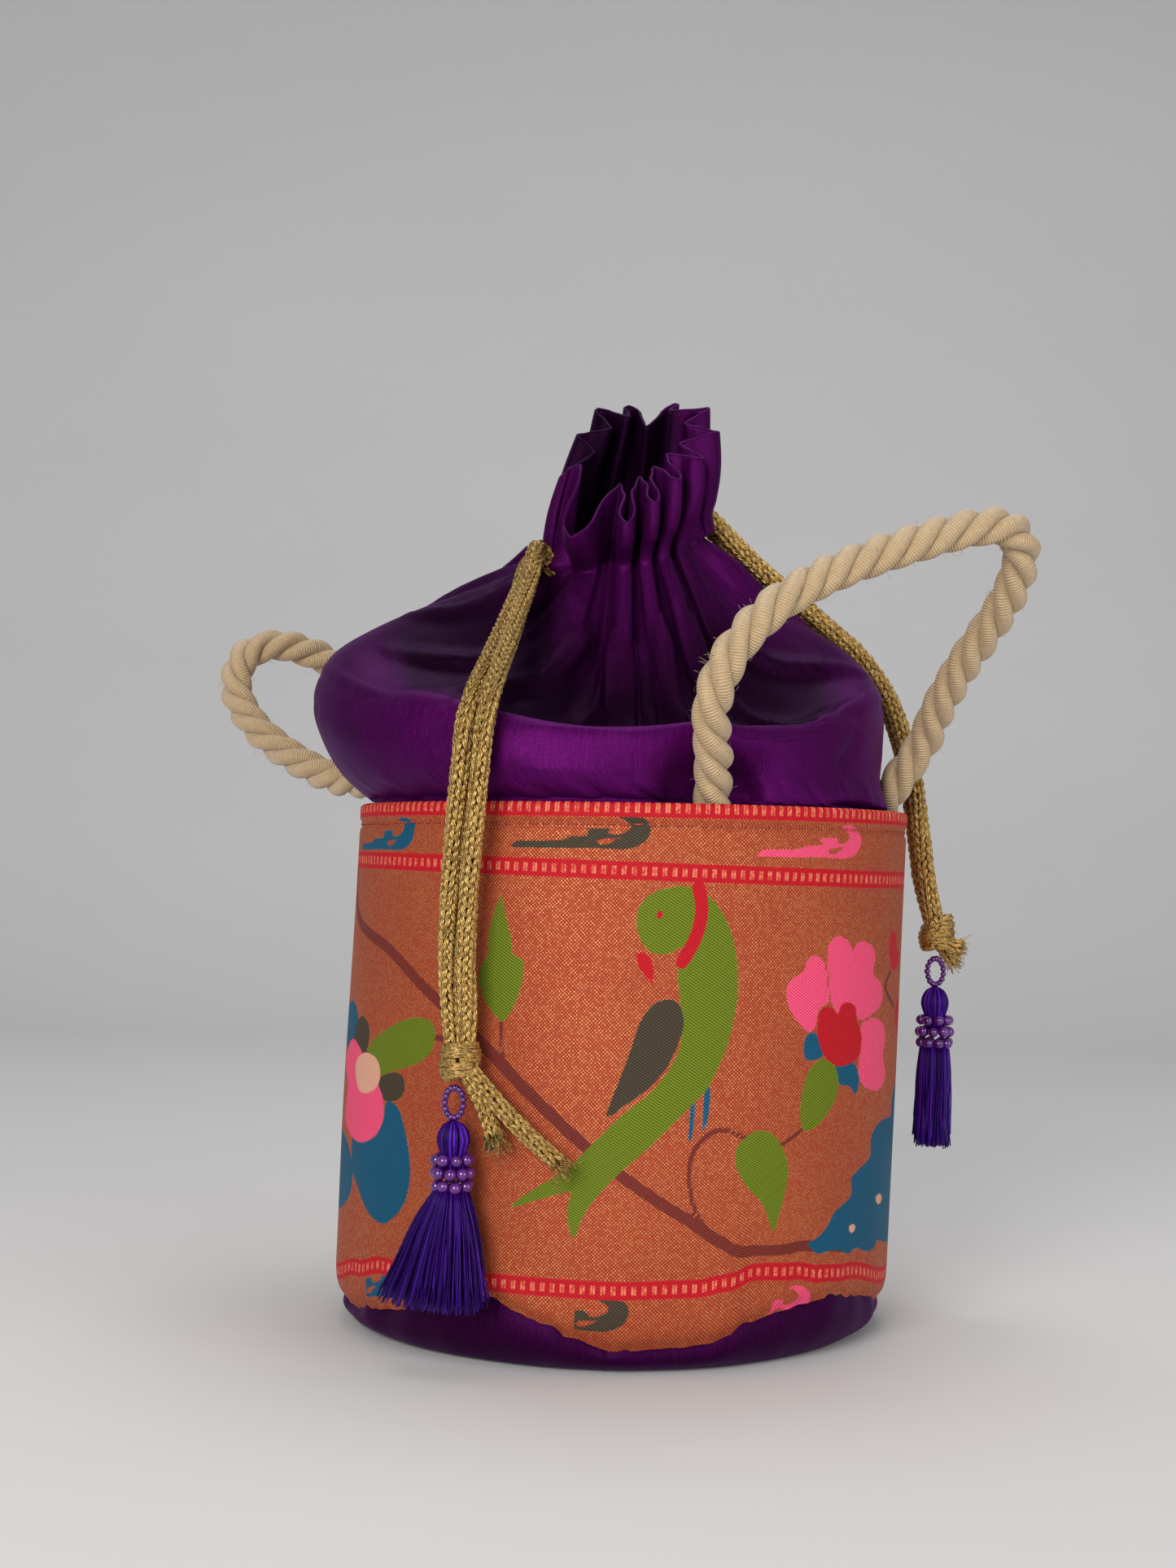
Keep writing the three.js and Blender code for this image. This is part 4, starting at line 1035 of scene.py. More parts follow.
def buildPouch():
    points, start = pouchSurface()
    cols = points.shape[1]
    # hem folded inside and the ruffle's inner face down to the gather
    inner = (points - surfaceNormal(points) * satin["ply"])[start + 2:][::-1]
    lip = (points[-1] + inner[0]) / 2
    lip[:, 2] += 0.35
    well = []
    floor = inner[-1]
    centre = np.array([neck["x"] + 1.1, neck["y"] - 0.7, 0])
    for f in (0.25, 0.5, 0.72):
        p = mix(floor, centre + [0, 0, neck["height"] - 2], f * 0.75)
        p[:, 2] = mix(floor[:, 2], neck["height"] - 4, f)
        well.append(p)
    allRows = np.concatenate([points, lip[None], inner, np.array(well)], 0)
    rows = len(allRows)
    cloth = clothPlace(rows, cols, satin["pouchGirth"], gridRun(allRows).mean(1)[:, None])
    # painted shade: how dark the satin is painted, most in the dish before the gather, on two flanks and in
    # the ruffle near the gather, where the cloth lies in shadow
    reach = np.hypot(allRows[..., 0] - neck["x"], allRows[..., 1] - neck["y"])
    low, high = (allRows[..., 2] - 140) / 60, allRows[..., 2]
    paintedShade = ease((75 - reach) / 18) * (0.35 + 0.65 * ease(1.2 - low)) * ease((high - 144) / 5)
    turn = np.degrees(np.arctan2(allRows[..., 0], -allRows[..., 1]))
    # painted shade on two flanks of the pouch, left and front right
    sides = 0.42 * np.exp(-((turn + 72) / 40) ** 2) + 0.3 * np.exp(-((turn - 48) / 20) ** 2)
    paintedShade = np.maximum(paintedShade, 0.1) + sides * ease((high - 140) / 6)
    paintedShade[start:] = np.maximum(0.45, 0.95 * ease((23 - reach[start:]) / 9))
    obj = makeMesh("satin_pouch_cloth", allRows.reshape(-1, 3), gridFaces(rows, cols), satinLook,
                   {"cloth": cloth, "paintedShade": paintedShade.ravel()})
    dress(obj, "satin_pouch")


buildPouch()
print("stage: pouch ready")

# brocade band
brocade = {
    "ground": rgb(194, 80, 45), "groundDeep": rgb(132, 34, 23), "glint": rgb(238, 178, 110),
    "green": (rgb(64, 78, 2), rgb(120, 138, 22)), "dark": (rgb(40, 32, 22), rgb(80, 70, 54)),
    "pink": (rgb(206, 38, 80), rgb(246, 98, 140)), "blue": (rgb(0, 54, 84), rgb(10, 98, 130)),
    "red": (rgb(150, 2, 18), rgb(206, 14, 34)), "vine": (rgb(82, 26, 22), rgb(132, 50, 38)),
    "pale": (rgb(196, 134, 108), rgb(226, 178, 156)),
    "weave": 0.66, "twill": 0.95, "repeat": 239.0, "stripe": 4.5, "stripeTop": 123.2,
    "stripeLow": 18.0, "stitchBelow": 5.6, "selvage": 4.2, "tailCut": -9.0,
    "ladder": 2.5, "stitchPitch": 3.3,
}
# one hook of the border rows, read where it is whole; copies are moved by mm round and up
hookOutline = [(625, 1041), (634, 1033), (665, 1033), (696, 1032), (687, 1027), (710, 1028), (728, 1027),
               (715, 1018), (735, 1018), (752, 1018), (747, 1024), (758, 1026), (766, 1024), (774, 1020),
               (776, 1013), (766, 1007), (755, 1003), (768, 1001), (780, 1002), (794, 1007), (799, 1013),
               (800, 1020), (798, 1028), (793, 1035), (780, 1042), (766, 1044), (724, 1042), (672, 1042)]
hookEye = [(731, 1034), (739, 1031), (751, 1030), (765, 1029), (757, 1033), (745, 1038), (736, 1038)]
# outlines as read on the picture: fill is smooth, hard is straight from point to point, line is a stroke
# with its width, and mound gets its unseen far half
motifs = {
    "vine": [
        ("line", 3.1, [(395, 1060), (440, 1120), (480, 1168), (520, 1212), (560, 1250), (600, 1290),
            (650, 1342), (700, 1390), (760, 1440), (810, 1475), (850, 1500), (880, 1520), (912, 1534),
            (950, 1532), (1000, 1527), (1035, 1527)]),
        ("line", 1.3, [(903, 1534), (872, 1512), (852, 1482), (846, 1450), (850, 1415), (866, 1395),
            (884, 1386), (905, 1392), (928, 1402)]),
        ("line", 1.2, [(938, 1405), (958, 1404), (974, 1394), (990, 1380)]),
        ("line", 1.1, [(616, 1255), (617, 1285), (620, 1312)]),
        ("line", 1.6, [(530, 1274), (556, 1278), (580, 1284)]),
        ("line", 1.5, [(1091, 1194), (1084, 1211), (1094, 1236)]),
    ],
    "green": [
        ("fill", [(822, 1091), (840, 1089), (858, 1093), (876, 1106), (893, 1132), (903, 1165), (907, 1205),
            (903, 1245), (893, 1285), (880, 1315), (866, 1340), (845, 1360), (815, 1390), (790, 1414),
            (760, 1440), (735, 1466), (716, 1492), (706, 1519), (700, 1508), (697, 1485), (702, 1462),
            (690, 1464), (660, 1472), (625, 1482), (648, 1464), (690, 1438), (728, 1404), (760, 1372),
            (800, 1340), (830, 1300), (838, 1262), (834, 1215), (833, 1190), (842, 1168), (835, 1164),
            (820, 1172), (800, 1170), (786, 1152), (782, 1130), (788, 1110), (803, 1097)]),
        ("fill", [(948, 1510), (936, 1478), (917, 1456), (904, 1434), (903, 1412), (914, 1396), (932, 1387),
            (950, 1393), (962, 1412), (967, 1436), (962, 1466), (955, 1490)]),
        ("fill", [(985, 1386), (982, 1362), (986, 1334), (994, 1312), (1008, 1300), (1022, 1306),
            (1028, 1326), (1024, 1350), (1010, 1372), (998, 1384)]),
        ("hard", [(616, 1097), (622, 1128), (628, 1150), (630, 1172), (644, 1180), (643, 1200), (638, 1222),
            (629, 1242), (618, 1257), (606, 1244), (594, 1226), (588, 1205), (590, 1190), (600, 1172),
            (600, 1150), (607, 1122)]),
        ("fill", [(453, 1292), (466, 1272), (490, 1256), (512, 1250), (530, 1255), (535, 1272), (528, 1294),
            (508, 1308), (482, 1316), (465, 1320)]),
    ],
    "dark": [
        ("fill", [(833, 1232), (818, 1228), (802, 1234), (786, 1256), (776, 1286), (764, 1318), (752, 1348),
            (745, 1372), (766, 1358), (794, 1338), (818, 1312), (833, 1282), (840, 1256)]),
        ("fill", [(441, 1296), (437, 1278), (440, 1258), (447, 1248), (454, 1258), (455, 1278),
            (450, 1296)]),
        ("fill", [(466, 1334), (470, 1322), (484, 1317), (495, 1322), (497, 1338), (490, 1350), (476, 1352),
            (468, 1345)]),
        ("fill", [(601, 1388), (594, 1394), (596, 1410), (606, 1412), (612, 1400)]),
    ],
    "pink": [
        ("fill", [(966, 1218), (972, 1204), (987, 1193), (991, 1180), (1000, 1174), (1011, 1181),
            (1015, 1204), (1018, 1230), (1006, 1238), (999, 1264), (988, 1264), (971, 1241)]),
        ("fill", [(1016, 1168), (1021, 1155), (1031, 1150), (1042, 1158), (1047, 1168), (1051, 1159),
            (1061, 1157), (1071, 1164), (1073, 1178), (1070, 1196), (1080, 1209), (1079, 1232),
            (1069, 1244), (1053, 1252), (1046, 1236), (1028, 1244), (1021, 1230), (1018, 1205)]),
        ("fill", [(1055, 1258), (1071, 1250), (1082, 1260), (1083, 1278), (1080, 1296), (1083, 1318),
            (1078, 1334), (1068, 1338), (1056, 1330), (1051, 1312), (1055, 1284)]),
        ("fill", [(431, 1330), (428, 1306), (431, 1286), (437, 1276), (444, 1286), (450, 1300), (456, 1312),
            (466, 1332), (472, 1352), (471, 1378), (460, 1396), (445, 1402), (434, 1392), (428, 1368)]),
    ],
    "blue": [
        ("fill", [(987, 1282), (991, 1271), (999, 1268), (1007, 1277), (1011, 1294), (1000, 1301),
            (989, 1300)]),
        ("fill", [(1023, 1311), (1030, 1302), (1038, 1301), (1048, 1308), (1052, 1326), (1048, 1343),
            (1041, 1333), (1028, 1330)]),
        ("mound", 0.45, [(1094, 1516), (1088, 1520), (1077, 1519), (1070, 1530), (1062, 1533), (1050, 1529),
            (1040, 1536), (1030, 1532), (1018, 1532), (1002, 1536), (990, 1524), (1000, 1518), (1012, 1506),
            (1020, 1492), (1027, 1482), (1040, 1470), (1044, 1460), (1043, 1446), (1050, 1436),
            (1060, 1426), (1066, 1416), (1066, 1400), (1069, 1387), (1079, 1374), (1090, 1368),
            (1091, 1352), (1094, 1336), (1106, 1318), (1112, 1300)]),
        ("fill", [(437, 1392), (448, 1400), (462, 1396), (472, 1376), (476, 1352), (490, 1362), (500, 1400),
            (504, 1440), (498, 1474), (484, 1494), (470, 1501), (456, 1490), (444, 1462), (436, 1430)]),
        ("fill", [(418, 1476), (410, 1440), (412, 1404), (420, 1384), (430, 1400), (436, 1432), (434, 1462),
            (426, 1478)]),
        ("fill", [(430, 1292), (427, 1262), (431, 1236), (437, 1230), (442, 1250), (440, 1276)]),
        ("fill", [(868, 1322), (872, 1345), (866, 1388), (862, 1388), (864, 1350)]),
        ("fill", [(851, 1332), (854, 1360), (849, 1398), (845, 1396), (848, 1360)]),
    ],
    "red": [
        ("line", 3.3, [(858, 1090), (862, 1110), (860, 1135), (852, 1158), (838, 1182)]),
        ("fill", [(781, 1172), (790, 1170), (799, 1178), (803, 1192), (800, 1212), (795, 1202),
            (786, 1190)]),
        ("fill", [(1003, 1262), (1005, 1246), (1012, 1237), (1021, 1238), (1027, 1246), (1032, 1234),
            (1040, 1231), (1048, 1236), (1050, 1252), (1055, 1270), (1054, 1286), (1049, 1300),
            (1030, 1309), (1014, 1300), (1005, 1280)]),
        ("fill", [(1090, 1171), (1092, 1150), (1095, 1143), (1100, 1152), (1099, 1162), (1103, 1172),
            (1101, 1186), (1093, 1191)]),
        ("fill", [(1096, 1242), (1099, 1228), (1104, 1227), (1104, 1240), (1106, 1254), (1101, 1278),
            (1097, 1258)]),
        ("fill", [(808, 1120), (812, 1118), (815, 1124), (812, 1130), (807, 1127)]),
    ],
    "pale": [
        ("fill", [(440, 1320), (441, 1302), (450, 1293), (462, 1298), (468, 1312), (466, 1332), (454, 1342),
            (444, 1338)]),
        ("fill", [(1040, 1504), (1046, 1500), (1049, 1505), (1044, 1511)]),
        ("fill", [(1072, 1469), (1077, 1463), (1080, 1469), (1076, 1476)]),
        ("fill", [(1095, 1416), (1099, 1409), (1102, 1416), (1099, 1423)]),
        ("fill", [(1104, 1356), (1108, 1350), (1111, 1356), (1108, 1363)]),
    ],
    "gaps": [
        ("line", 0.7, [(1013, 1182), (1016, 1206), (1019, 1236)]),
        ("line", 0.6, [(1054, 1255), (1070, 1247), (1078, 1243)]),
        ("line", 0.5, [(1044, 1160), (1048, 1174)]),
    ],
}
# each colour's two hooks, one in the upper row and one in the lower
hookPlaces = {"dark": [(0.0, 0.0), (0.5, -120.4)], "pink": [(63.0, -1.2), (52.0, -122.5)],
              "blue": [(-67.5, -1.0), (-66.0, -118.5)]}
for key, places in hookPlaces.items():
    motifs[key] += [("hook", place) for place in places]
    motifs["gaps"] += [("eye", place) for place in places]
paintOrder = ["vine", "blue", "green", "dark", "pink", "red", "pale"]
fieldNames = paintOrder + ["gaps"]


def closedCurve(points, per=5):
    p = np.asarray(points, float)
    out = []
    n = len(p)
    f = (np.arange(per) / per)[:, None]
    for i in range(n):
        out.append(hermite(p[i - 1], p[i], p[(i + 1) % n], p[(i + 2) % n], f))
    return np.vstack(out)


def segmentDistance(px, py, a, b):
    d = b - a
    t = np.clip(((px - a[0]) * d[0] + (py - a[1]) * d[1]) / max(float(d @ d), 1e-9), 0, 1)
    return np.hypot(px - a[0] - t * d[0], py - a[1] - t * d[1])


def signedDistance(px, py, outline):
    best = np.full(px.shape, 1e9)
    inside = np.zeros(px.shape, bool)
    n = len(outline)
    for i in range(n):
        a, b = outline[i], outline[(i + 1) % n]
        best = np.minimum(best, segmentDistance(px, py, a, b))
        cross = ((a[1] > py) != (b[1] > py))
        with np.errstate(divide="ignore", invalid="ignore"):
            x = (b[0] - a[0]) * (py - a[1]) / (b[1] - a[1]) + a[0]
        inside ^= cross & (px < x)
    return np.where(inside, -best, best)


def motifField(u, v, shapes):  # signed distance in mm to the nearest shape of one colour, over both repeats
    half = brocade["repeat"] / 2
    wrapped = (u + half) % brocade["repeat"] - half
    field = np.full(u.shape, 6.0)
    for shape in shapes:
        kind = shape[0]
        pts = {"hook": hookOutline, "eye": hookEye}.get(kind, shape[-1])
        cloth = np.array([onBand(*p) for p in pts])
        cloth[:, 1] = clothHeightInverse(cloth[:, 0], cloth[:, 1])
        if kind in ("hook", "eye"):
            if shape[1][1] < -100:  # on the lower row the base seam takes in the tail
                cloth[:, 0] = np.maximum(cloth[:, 0], brocade["tailCut"])
            cloth += shape[1]
        if kind == "line":
            fine = smoothPath(np.column_stack([cloth, np.zeros(len(cloth))]), 2.0)[0][:, :2]
        elif kind == "mound":  # seen up to the bag's side only: its far half is the same, drawn narrower
            middle = cloth[:, 0].max() + 1.0
            far = cloth[::-1].copy()
            far[:, 0] = middle + (middle - far[:, 0]) * shape[1]
            fine = closedCurve(np.vstack([cloth, far]))
        elif kind == "fill":
            fine = closedCurve(cloth)
        else:
            fine = cloth
        low, high = fine.min(0) - 5, fine.max(0) + 5
        for shift in (-brocade["repeat"], 0, brocade["repeat"]):
            uu = wrapped - shift
            near = (uu > low[0]) & (uu < high[0]) & (v > low[1]) & (v < high[1])
            if not near.any():
                continue
            x, y = uu[near], v[near]
            if kind == "line":
                d = np.full(x.shape, 1e9)
                for a, b in zip(fine[:-1], fine[1:]):
                    d = np.minimum(d, segmentDistance(x, y, a, b))
                d = d - shape[1] / 2
            else:
                d = signedDistance(x, y, fine)
            field[near] = np.minimum(field[near], d)
    return field


# the lower stripe is pulled into waves by the base seam
stripeWave = [(-75, -4), (-61, 0), (-51, 2.8), (-21.5, 3.4), (0, 3.2), (16, 3.6), (22, 4.8), (28, 6.7),
              (37, 6.0), (44, 4.3), (52, 3.4), (75, -2), (120, 2.0), (160, -1.0), (-120, 1.5)]


def waveAt(u):
    return around(stripeWave, np.degrees(np.asarray(u) / body["radius"]))


def clothHeightInverse(u, z):  # height on the cloth of a point at height z on the bag
    return z - waveAt(u) * (1 - ease((np.asarray(z) - 24) / 36))


def bandMaterial():
    material, tree, shade = newMaterial("vine_brocade", {"Specular IOR Level": 0.2})
    at = attribute(tree, "cloth")
    parts = node(tree, "ShaderNodeSeparateXYZ", {0: at})
    u, v = parts.outputs[0], parts.outputs[1]
    # diagonal lattice of thread crossings, each with its own brightness
    cell = brocade["weave"] * mm * math.sqrt(2)
    crossA = calc(tree, "DIVIDE", plus(tree, u, v), cell)
    crossB = calc(tree, "DIVIDE", minus(tree, u, v), cell)
    spot = times(tree, calc(tree, "SINE", times(tree, calc(tree, "FRACT", crossA), math.pi)),
                 calc(tree, "SINE", times(tree, calc(tree, "FRACT", crossB), math.pi)))
    address = node(tree, "ShaderNodeCombineXYZ",
                   {0: calc(tree, "FLOOR", crossA), 1: calc(tree, "FLOOR", crossB)})
    chance = node(tree, "ShaderNodeTexWhiteNoise", {"Vector": address.outputs[0]}).outputs[0]
    twill = calc(tree, "SINE",
                 times(tree, plus(tree, times(tree, u, 0.8), times(tree, v, 1.3)),
                       math.pi * 2 / (brocade["twill"] * mm)))
    grain = fibres(tree, at, (900.0, 900.0, 1.0), 22.0, 0.5)
    fine = grain["Fibre"]
    lively = remap(tree, grain["Cloud"], 0.32, 0.68, 0.72, 1.0)
    glow = times(tree, calc(tree, "POWER", spot, 1.6), lively)
    # gold thread at chosen crossings, lit to the glint colour in its middle: real gold thread with a
    # painted glint
    gold = times(tree, glow, remap(tree, chance, 0.2, 1.0, 0.3, 0.95))
    base = mixColour(tree, plus(tree, times(tree, glow, 0.75), 0.1, clamp=True), brocade["groundDeep"],
                     brocade["ground"])
    base = mixColour(tree, times(tree, gold, 0.85), base, brocade["glint"])
    jag = plus(tree, times(tree, minus(tree, fine, 0.5), 0.4), times(tree, minus(tree, spot, 0.5), 0.22))
    dash = plus(tree, times(tree, twill, 0.5), plus(tree, times(tree, spot, 0.3), 0.36), clamp=True)

    def inside(key):
        field = plus(tree, attribute(tree, key, "Fac"), jag)
        return remap(tree, field, 0.09, -0.09)

    colour = base
    cover = None
    for key in paintOrder:
        mask = inside(key)
        thread = mixColour(tree, dash, brocade[key][0], brocade[key][1])
        colour = mixColour(tree, mask, colour, thread)
        cover = mask if cover is None else calc(tree, "MAXIMUM", cover, mask)
    gaps = inside("gaps")
    colour = mixColour(tree, gaps, colour, base)
    cover = times(tree, cover, minus(tree, 1.0, gaps))
    # woven stripes: a red band with a ladder of gold bars down its middle
    pace = calc(tree, "SINE", times(tree, u, 2 * math.pi / (brocade["ladder"] * mm)))
    bars = remap(tree, pace, -0.1, 0.35)
    hole = remap(tree, pace, 0.98, 0.75)
    for centre, wide, tilt in ((brocade["stripeTop"], brocade["stripe"], 1),
                               (brocade["stripeLow"], brocade["stripe"], 0),
                               (body["top"] - 1.6, brocade["selvage"], 0)):
        height = times(tree, v, 1000.0)
        if tilt:
            height = plus(tree, height, attribute(tree, "lean", "Fac"))
        gap = calc(tree, "ABSOLUTE", minus(tree, height, centre))
        mask = remap(tree, plus(tree, gap, jag), wide / 2 + 0.12, wide / 2 - 0.12)
        middle = remap(tree, gap, wide * 0.27, wide * 0.19)
        ladder = times(tree, times(tree, bars, middle), plus(tree, times(tree, hole, 0.5), 0.4))
        red = mixColour(tree, dash, brocade["red"][0], brocade["red"][1])
        red = mixColour(tree, ladder, red, mixColour(tree, chance, rgb(196, 66, 50), rgb(234, 150, 112)))
        colour = mixColour(tree, mask, colour, red)
        cover = calc(tree, "MAXIMUM", cover, mask)
    bare = minus(tree, 1.0, cover)
    metal = times(tree, bare, plus(tree, times(tree, gold, 0.6), 0.2))
    tree.links.new(metal, shade.inputs["Metallic"])
    rough = minus(tree, 0.6, times(tree, times(tree, gold, bare), 0.3))
    relief = plus(tree, times(tree, spot, 0.7),
                  plus(tree, times(tree, times(tree, twill, cover), 0.5), times(tree, fine, 0.5)))
    finishLook(tree, shade, colour, relief, 0.4, 0.0002, rough)
    return material


bandLook = bandMaterial()


# creases of the band above the base seam: angle, width, height
creases = [(22.5, 3.2, 2.0), (28.5, 3.6, -1.5), (-20, 6, 1.2), (-31, 5, -0.9)]


def bandPuckers(u, z):  # loose cloth near the base seam and soft dents on the wall
    a = u / body["radius"]
    low = 1 - ease((z - 6) / 34)
    swell = 0.9 * np.sin(a * 9 + 0.6) + 0.6 * np.sin(a * 15 + 2.1) + 0.35 * np.sin(a * 24 + 0.3)
    angle = np.degrees(a)
    crease = sum(tall * np.exp(-((angle - place) / width) ** 2) for place, width, tall in creases)
    swell = swell * 0.8 + crease
    wall = 0.35 * np.sin(a * 5 + z / 37) + 0.25 * np.sin(a * 3 - z / 29 + 1.2)
    return swell * low * 0.9 + wall * ease((135 - z) / 20)


def buildBand():
    radius, thick = body["radius"], body["thickness"]
    cols = 460
    theta = -180 + np.arange(cols) / cols * 360
    u = np.radians(theta) * radius
    seam = around(seamRows, theta)
    rows, cloth = [], []
    for t in np.linspace(0, 1, 132):
        z = seam + (body["top"] - 0.7 - seam) * t
        r = bodyOuter(z) + bandPuckers(u, z) * np.sin(math.pi * min(1, 0.08 + t * 1.1)) \
            - 0.9 * np.exp(-((body["top"] - brocade["stitchBelow"] - z) / 0.9) ** 2)
        tuck = np.exp(-((z - seam) / 2.2) ** 2)
        r = r - 1.6 * tuck + 0.25 * tuck * np.sin(u * 1.05) + 0.12 * np.sin(u * 0.9) * (t > 0.97)
        rows.append(polar(bodyAxis(z), 0, r, theta, z))
        cloth.append(np.stack([u, clothHeightInverse(u, z), 0 * u], -1))
    for inset, drop in ((0.5, 0.15), (thick * 0.55, 0.0), (thick, 0.4), (thick, 3.0), (thick, 14.0)):
        z = body["top"] - drop + 0 * u
        rows.append(polar(bodyAxis(z), 0, radius - inset, theta, z))
        cloth.append(np.stack([u, body["top"] - 1.2 + 0 * u, 0 * u], -1))
    points, cloth = np.array(rows), np.array(cloth)
    u, v = cloth[..., 0].ravel(), cloth[..., 1].ravel()
    extra = {key: motifField(u, v, motifs[key]) for key in fieldNames}
    extra["lean"] = (1.6 * np.sin(np.radians(np.broadcast_to(theta, points.shape[:2])))).ravel()
    extra["cloth"] = cloth.reshape(-1, 3) * mm
    faces = gridFaces(len(points), cols)
    obj = makeMesh("brocade_band_cloth", points.reshape(-1, 3), faces, bandLook, extra)
    dress(obj, "brocade_band")


buildBand()


def threadMaterial(name, low, high):
    material, tree, shade = newMaterial(name, {"Roughness": 0.55})
    at = attribute(tree, "along")
    lay = twist(tree, at, 9000.0, 1.0)
    grain = fibres(tree, at, (2500.0, 6.0, 1.0), 60.0, 0.4)
    tone = plus(tree, times(tree, lay, 0.3), times(tree, grain["Tone"], 1.0), clamp=True)
    finishLook(tree, shade, mixColour(tree, tone, low, high), lay, 0.5, 0.0001)
    return material


def buildStitches():
    bundle = Bundle()
    gen = np.random.default_rng(23)
    z = body["top"] - brocade["stitchBelow"]
    count = int(2 * math.pi * body["radius"] / brocade["stitchPitch"])
    for k in range(count):
        a0 = k / count * 360
        a1 = a0 + 360 / count * 0.66
        level = z + gen.normal(0, 0.1)
        angles = np.linspace(a0, a1, 5)
        r = body["radius"] - 0.75 + 0.32 * np.sin(np.linspace(0, math.pi, 5))
        bundle.tube(polar(float(bodyAxis(z)), 0, r, angles, level + np.linspace(0, 0.12, 5)), 0.26, 6,
                    gen.uniform())
    obj = bundle.build("top_stitching", threadMaterial("stitch_thread", rgb(104, 26, 22), rgb(196, 90, 62)))
    dress(obj, "brocade_band")


buildStitches()
print("stage: band ready")

# base
def buildBase():
    cols = 300
    theta = np.arange(cols) / cols * 360

    def inside(z):
        return bodyOuter(z) - body["thickness"] - 0.3

    seam = around(seamRows, theta)
    rows = []
    for r in (0.5, 15, 30, 45, 58, 63, 65.5):
        rows.append(polar(body["axisAtGround"], 0, r, theta, 0.02))
    a = np.radians(theta)
    folds = np.sin(a * 17 + 1.2 * np.sin(a * 5)) * 0.6 + np.sin(a * 31 + 0.7) * 0.35
    for t in np.linspace(0.06, 1, 16):
        z = seam * t ** 1.25 + 0.02
        r = mix(66.8, inside(seam), math.sin(t * math.pi / 2) ** 0.8)
        swell = math.sin(math.pi * t) * 1.4
        rows.append(polar(bodyAxis(z), 0, r + swell + folds * t * 0.8, theta, z))
    for rise in (2.5, 6.0, 9.5):
        z = np.minimum(seam + rise, 27)
        rows.append(polar(bodyAxis(z), 0, inside(z) - 0.5, theta, z))
    points = np.array(rows)
    rowCount = len(points)
    cloth = clothPlace(rowCount, cols, satin["baseGirth"], gridRun(points))
    faces = gridFaces(rowCount, cols)
    faces.append(list(range(cols - 1, -1, -1)))
    # painted shade: the base cloth is darkened all over, for the shade it lies in low under the band
    paintedShade = np.full(rowCount * cols, 0.72)
    obj = makeMesh("base_panel_cloth", points.reshape(-1, 3), faces, satinLook,
                   {"cloth": cloth, "paintedShade": paintedShade})
    dress(obj, "base_panel")


buildBase()


def hiddenMaterial(name, low, high, scale):
    material, tree, shade = newMaterial(name, {"Roughness": 0.85})
    place = node(tree, "ShaderNodeTexCoord")
    grain = fibres(tree, place.outputs["Object"], (scale, scale, scale), 60.0, 0.35)
    finishLook(tree, shade, mixColour(tree, grain["Tone"], low, high), grain["Fibre"], 0.4, 0.0003)
    return material


boardLook = hiddenMaterial("board_grey", rgb(120, 112, 98), rgb(156, 148, 132), 400.0)
liningLook = hiddenMaterial("lining_cloth", rgb(44, 20, 66), rgb(70, 36, 98), 900.0)
for nodeName, look in (("base_board", boardLook), ("lining", liningLook)):
    solid = frame["nodes"][nodeName]
    for s in range(max(1, len(solid.material_slots))):
        if not solid.material_slots:
            solid.data.materials.append(look)
        solid.material_slots[s].material = look
print("stage: base ready")

# tassels
tassel = {
    "collarHeight": 9.6, "rows": 3, "beads": 8, "beadRadius": 1.56, "beadRing": 4.0,
    "core": 3.0, "head": 4.0, "headHeight": 7.0, "headYarns": 90,
    "loopWide": 3.2, "loopHigh": 4.6, "loopBeads": 15,
    "strands": 620, "strandRadius": 0.17, "strays": {"left": 16, "right": 6},
    "silk": rgb(50, 5, 118), "silkDark": rgb(16, 0, 46), "silkLight": rgb(104, 36, 204),
    "bead": rgb(50, 4, 80), "beadLight": rgb(112, 38, 148),
}


def silkMaterial():
    material, tree, shade = newMaterial("tassel_silk", {"Roughness": 0.38, "Specular IOR Level": 0.28})
    shade.inputs["Specular Tint"].default_value = (0.72, 0.5, 1.0, 1)
    tone = attribute(tree, "tone", "Fac")
    at = attribute(tree, "along")
    grain = fibres(tree, at, (500.0, 40.0, 1.0), 120.0, 0.4)
    mixed = plus(tree, times(tree, tone, 0.8), times(tree, grain["Tone"], 0.35), clamp=True)
    low = mixColour(tree, mixed, tassel["silkDark"], tassel["silk"])
    crest = remap(tree, mixed, 0.72, 1.0)
    finishLook(tree, shade, mixColour(tree, crest, low, tassel["silkLight"]), grain["Fibre"], 0.3, 0.0001)
    return material


def beadMaterial():
    material, tree, shade = newMaterial("pearl_bead",
                                        {"Roughness": 0.16, "Metallic": 0.3, "Coat Weight": 0.9,
                                         "Coat Roughness": 0.06})
    tone = attribute(tree, "tone", "Fac")
    place = node(tree, "ShaderNodeTexCoord")
    cloud = node(tree, "ShaderNodeTexNoise",
                 {"Vector": place.outputs["Object"], "Scale": 700.0, "Detail": 3.0})
    mixed = plus(tree, times(tree, tone, 0.4), times(tree, cloud.outputs[0], 0.5), clamp=True)
    tree.links.new(mixColour(tree, mixed, tassel["bead"], tassel["beadLight"]), shade.inputs["Base Color"])
    tree.links.new(remap(tree, cloud.outputs[0], 0.0, 1.0, 0.1, 0.28), shade.inputs["Roughness"])
    return material


silkLook = silkMaterial()
beadLook = beadMaterial()


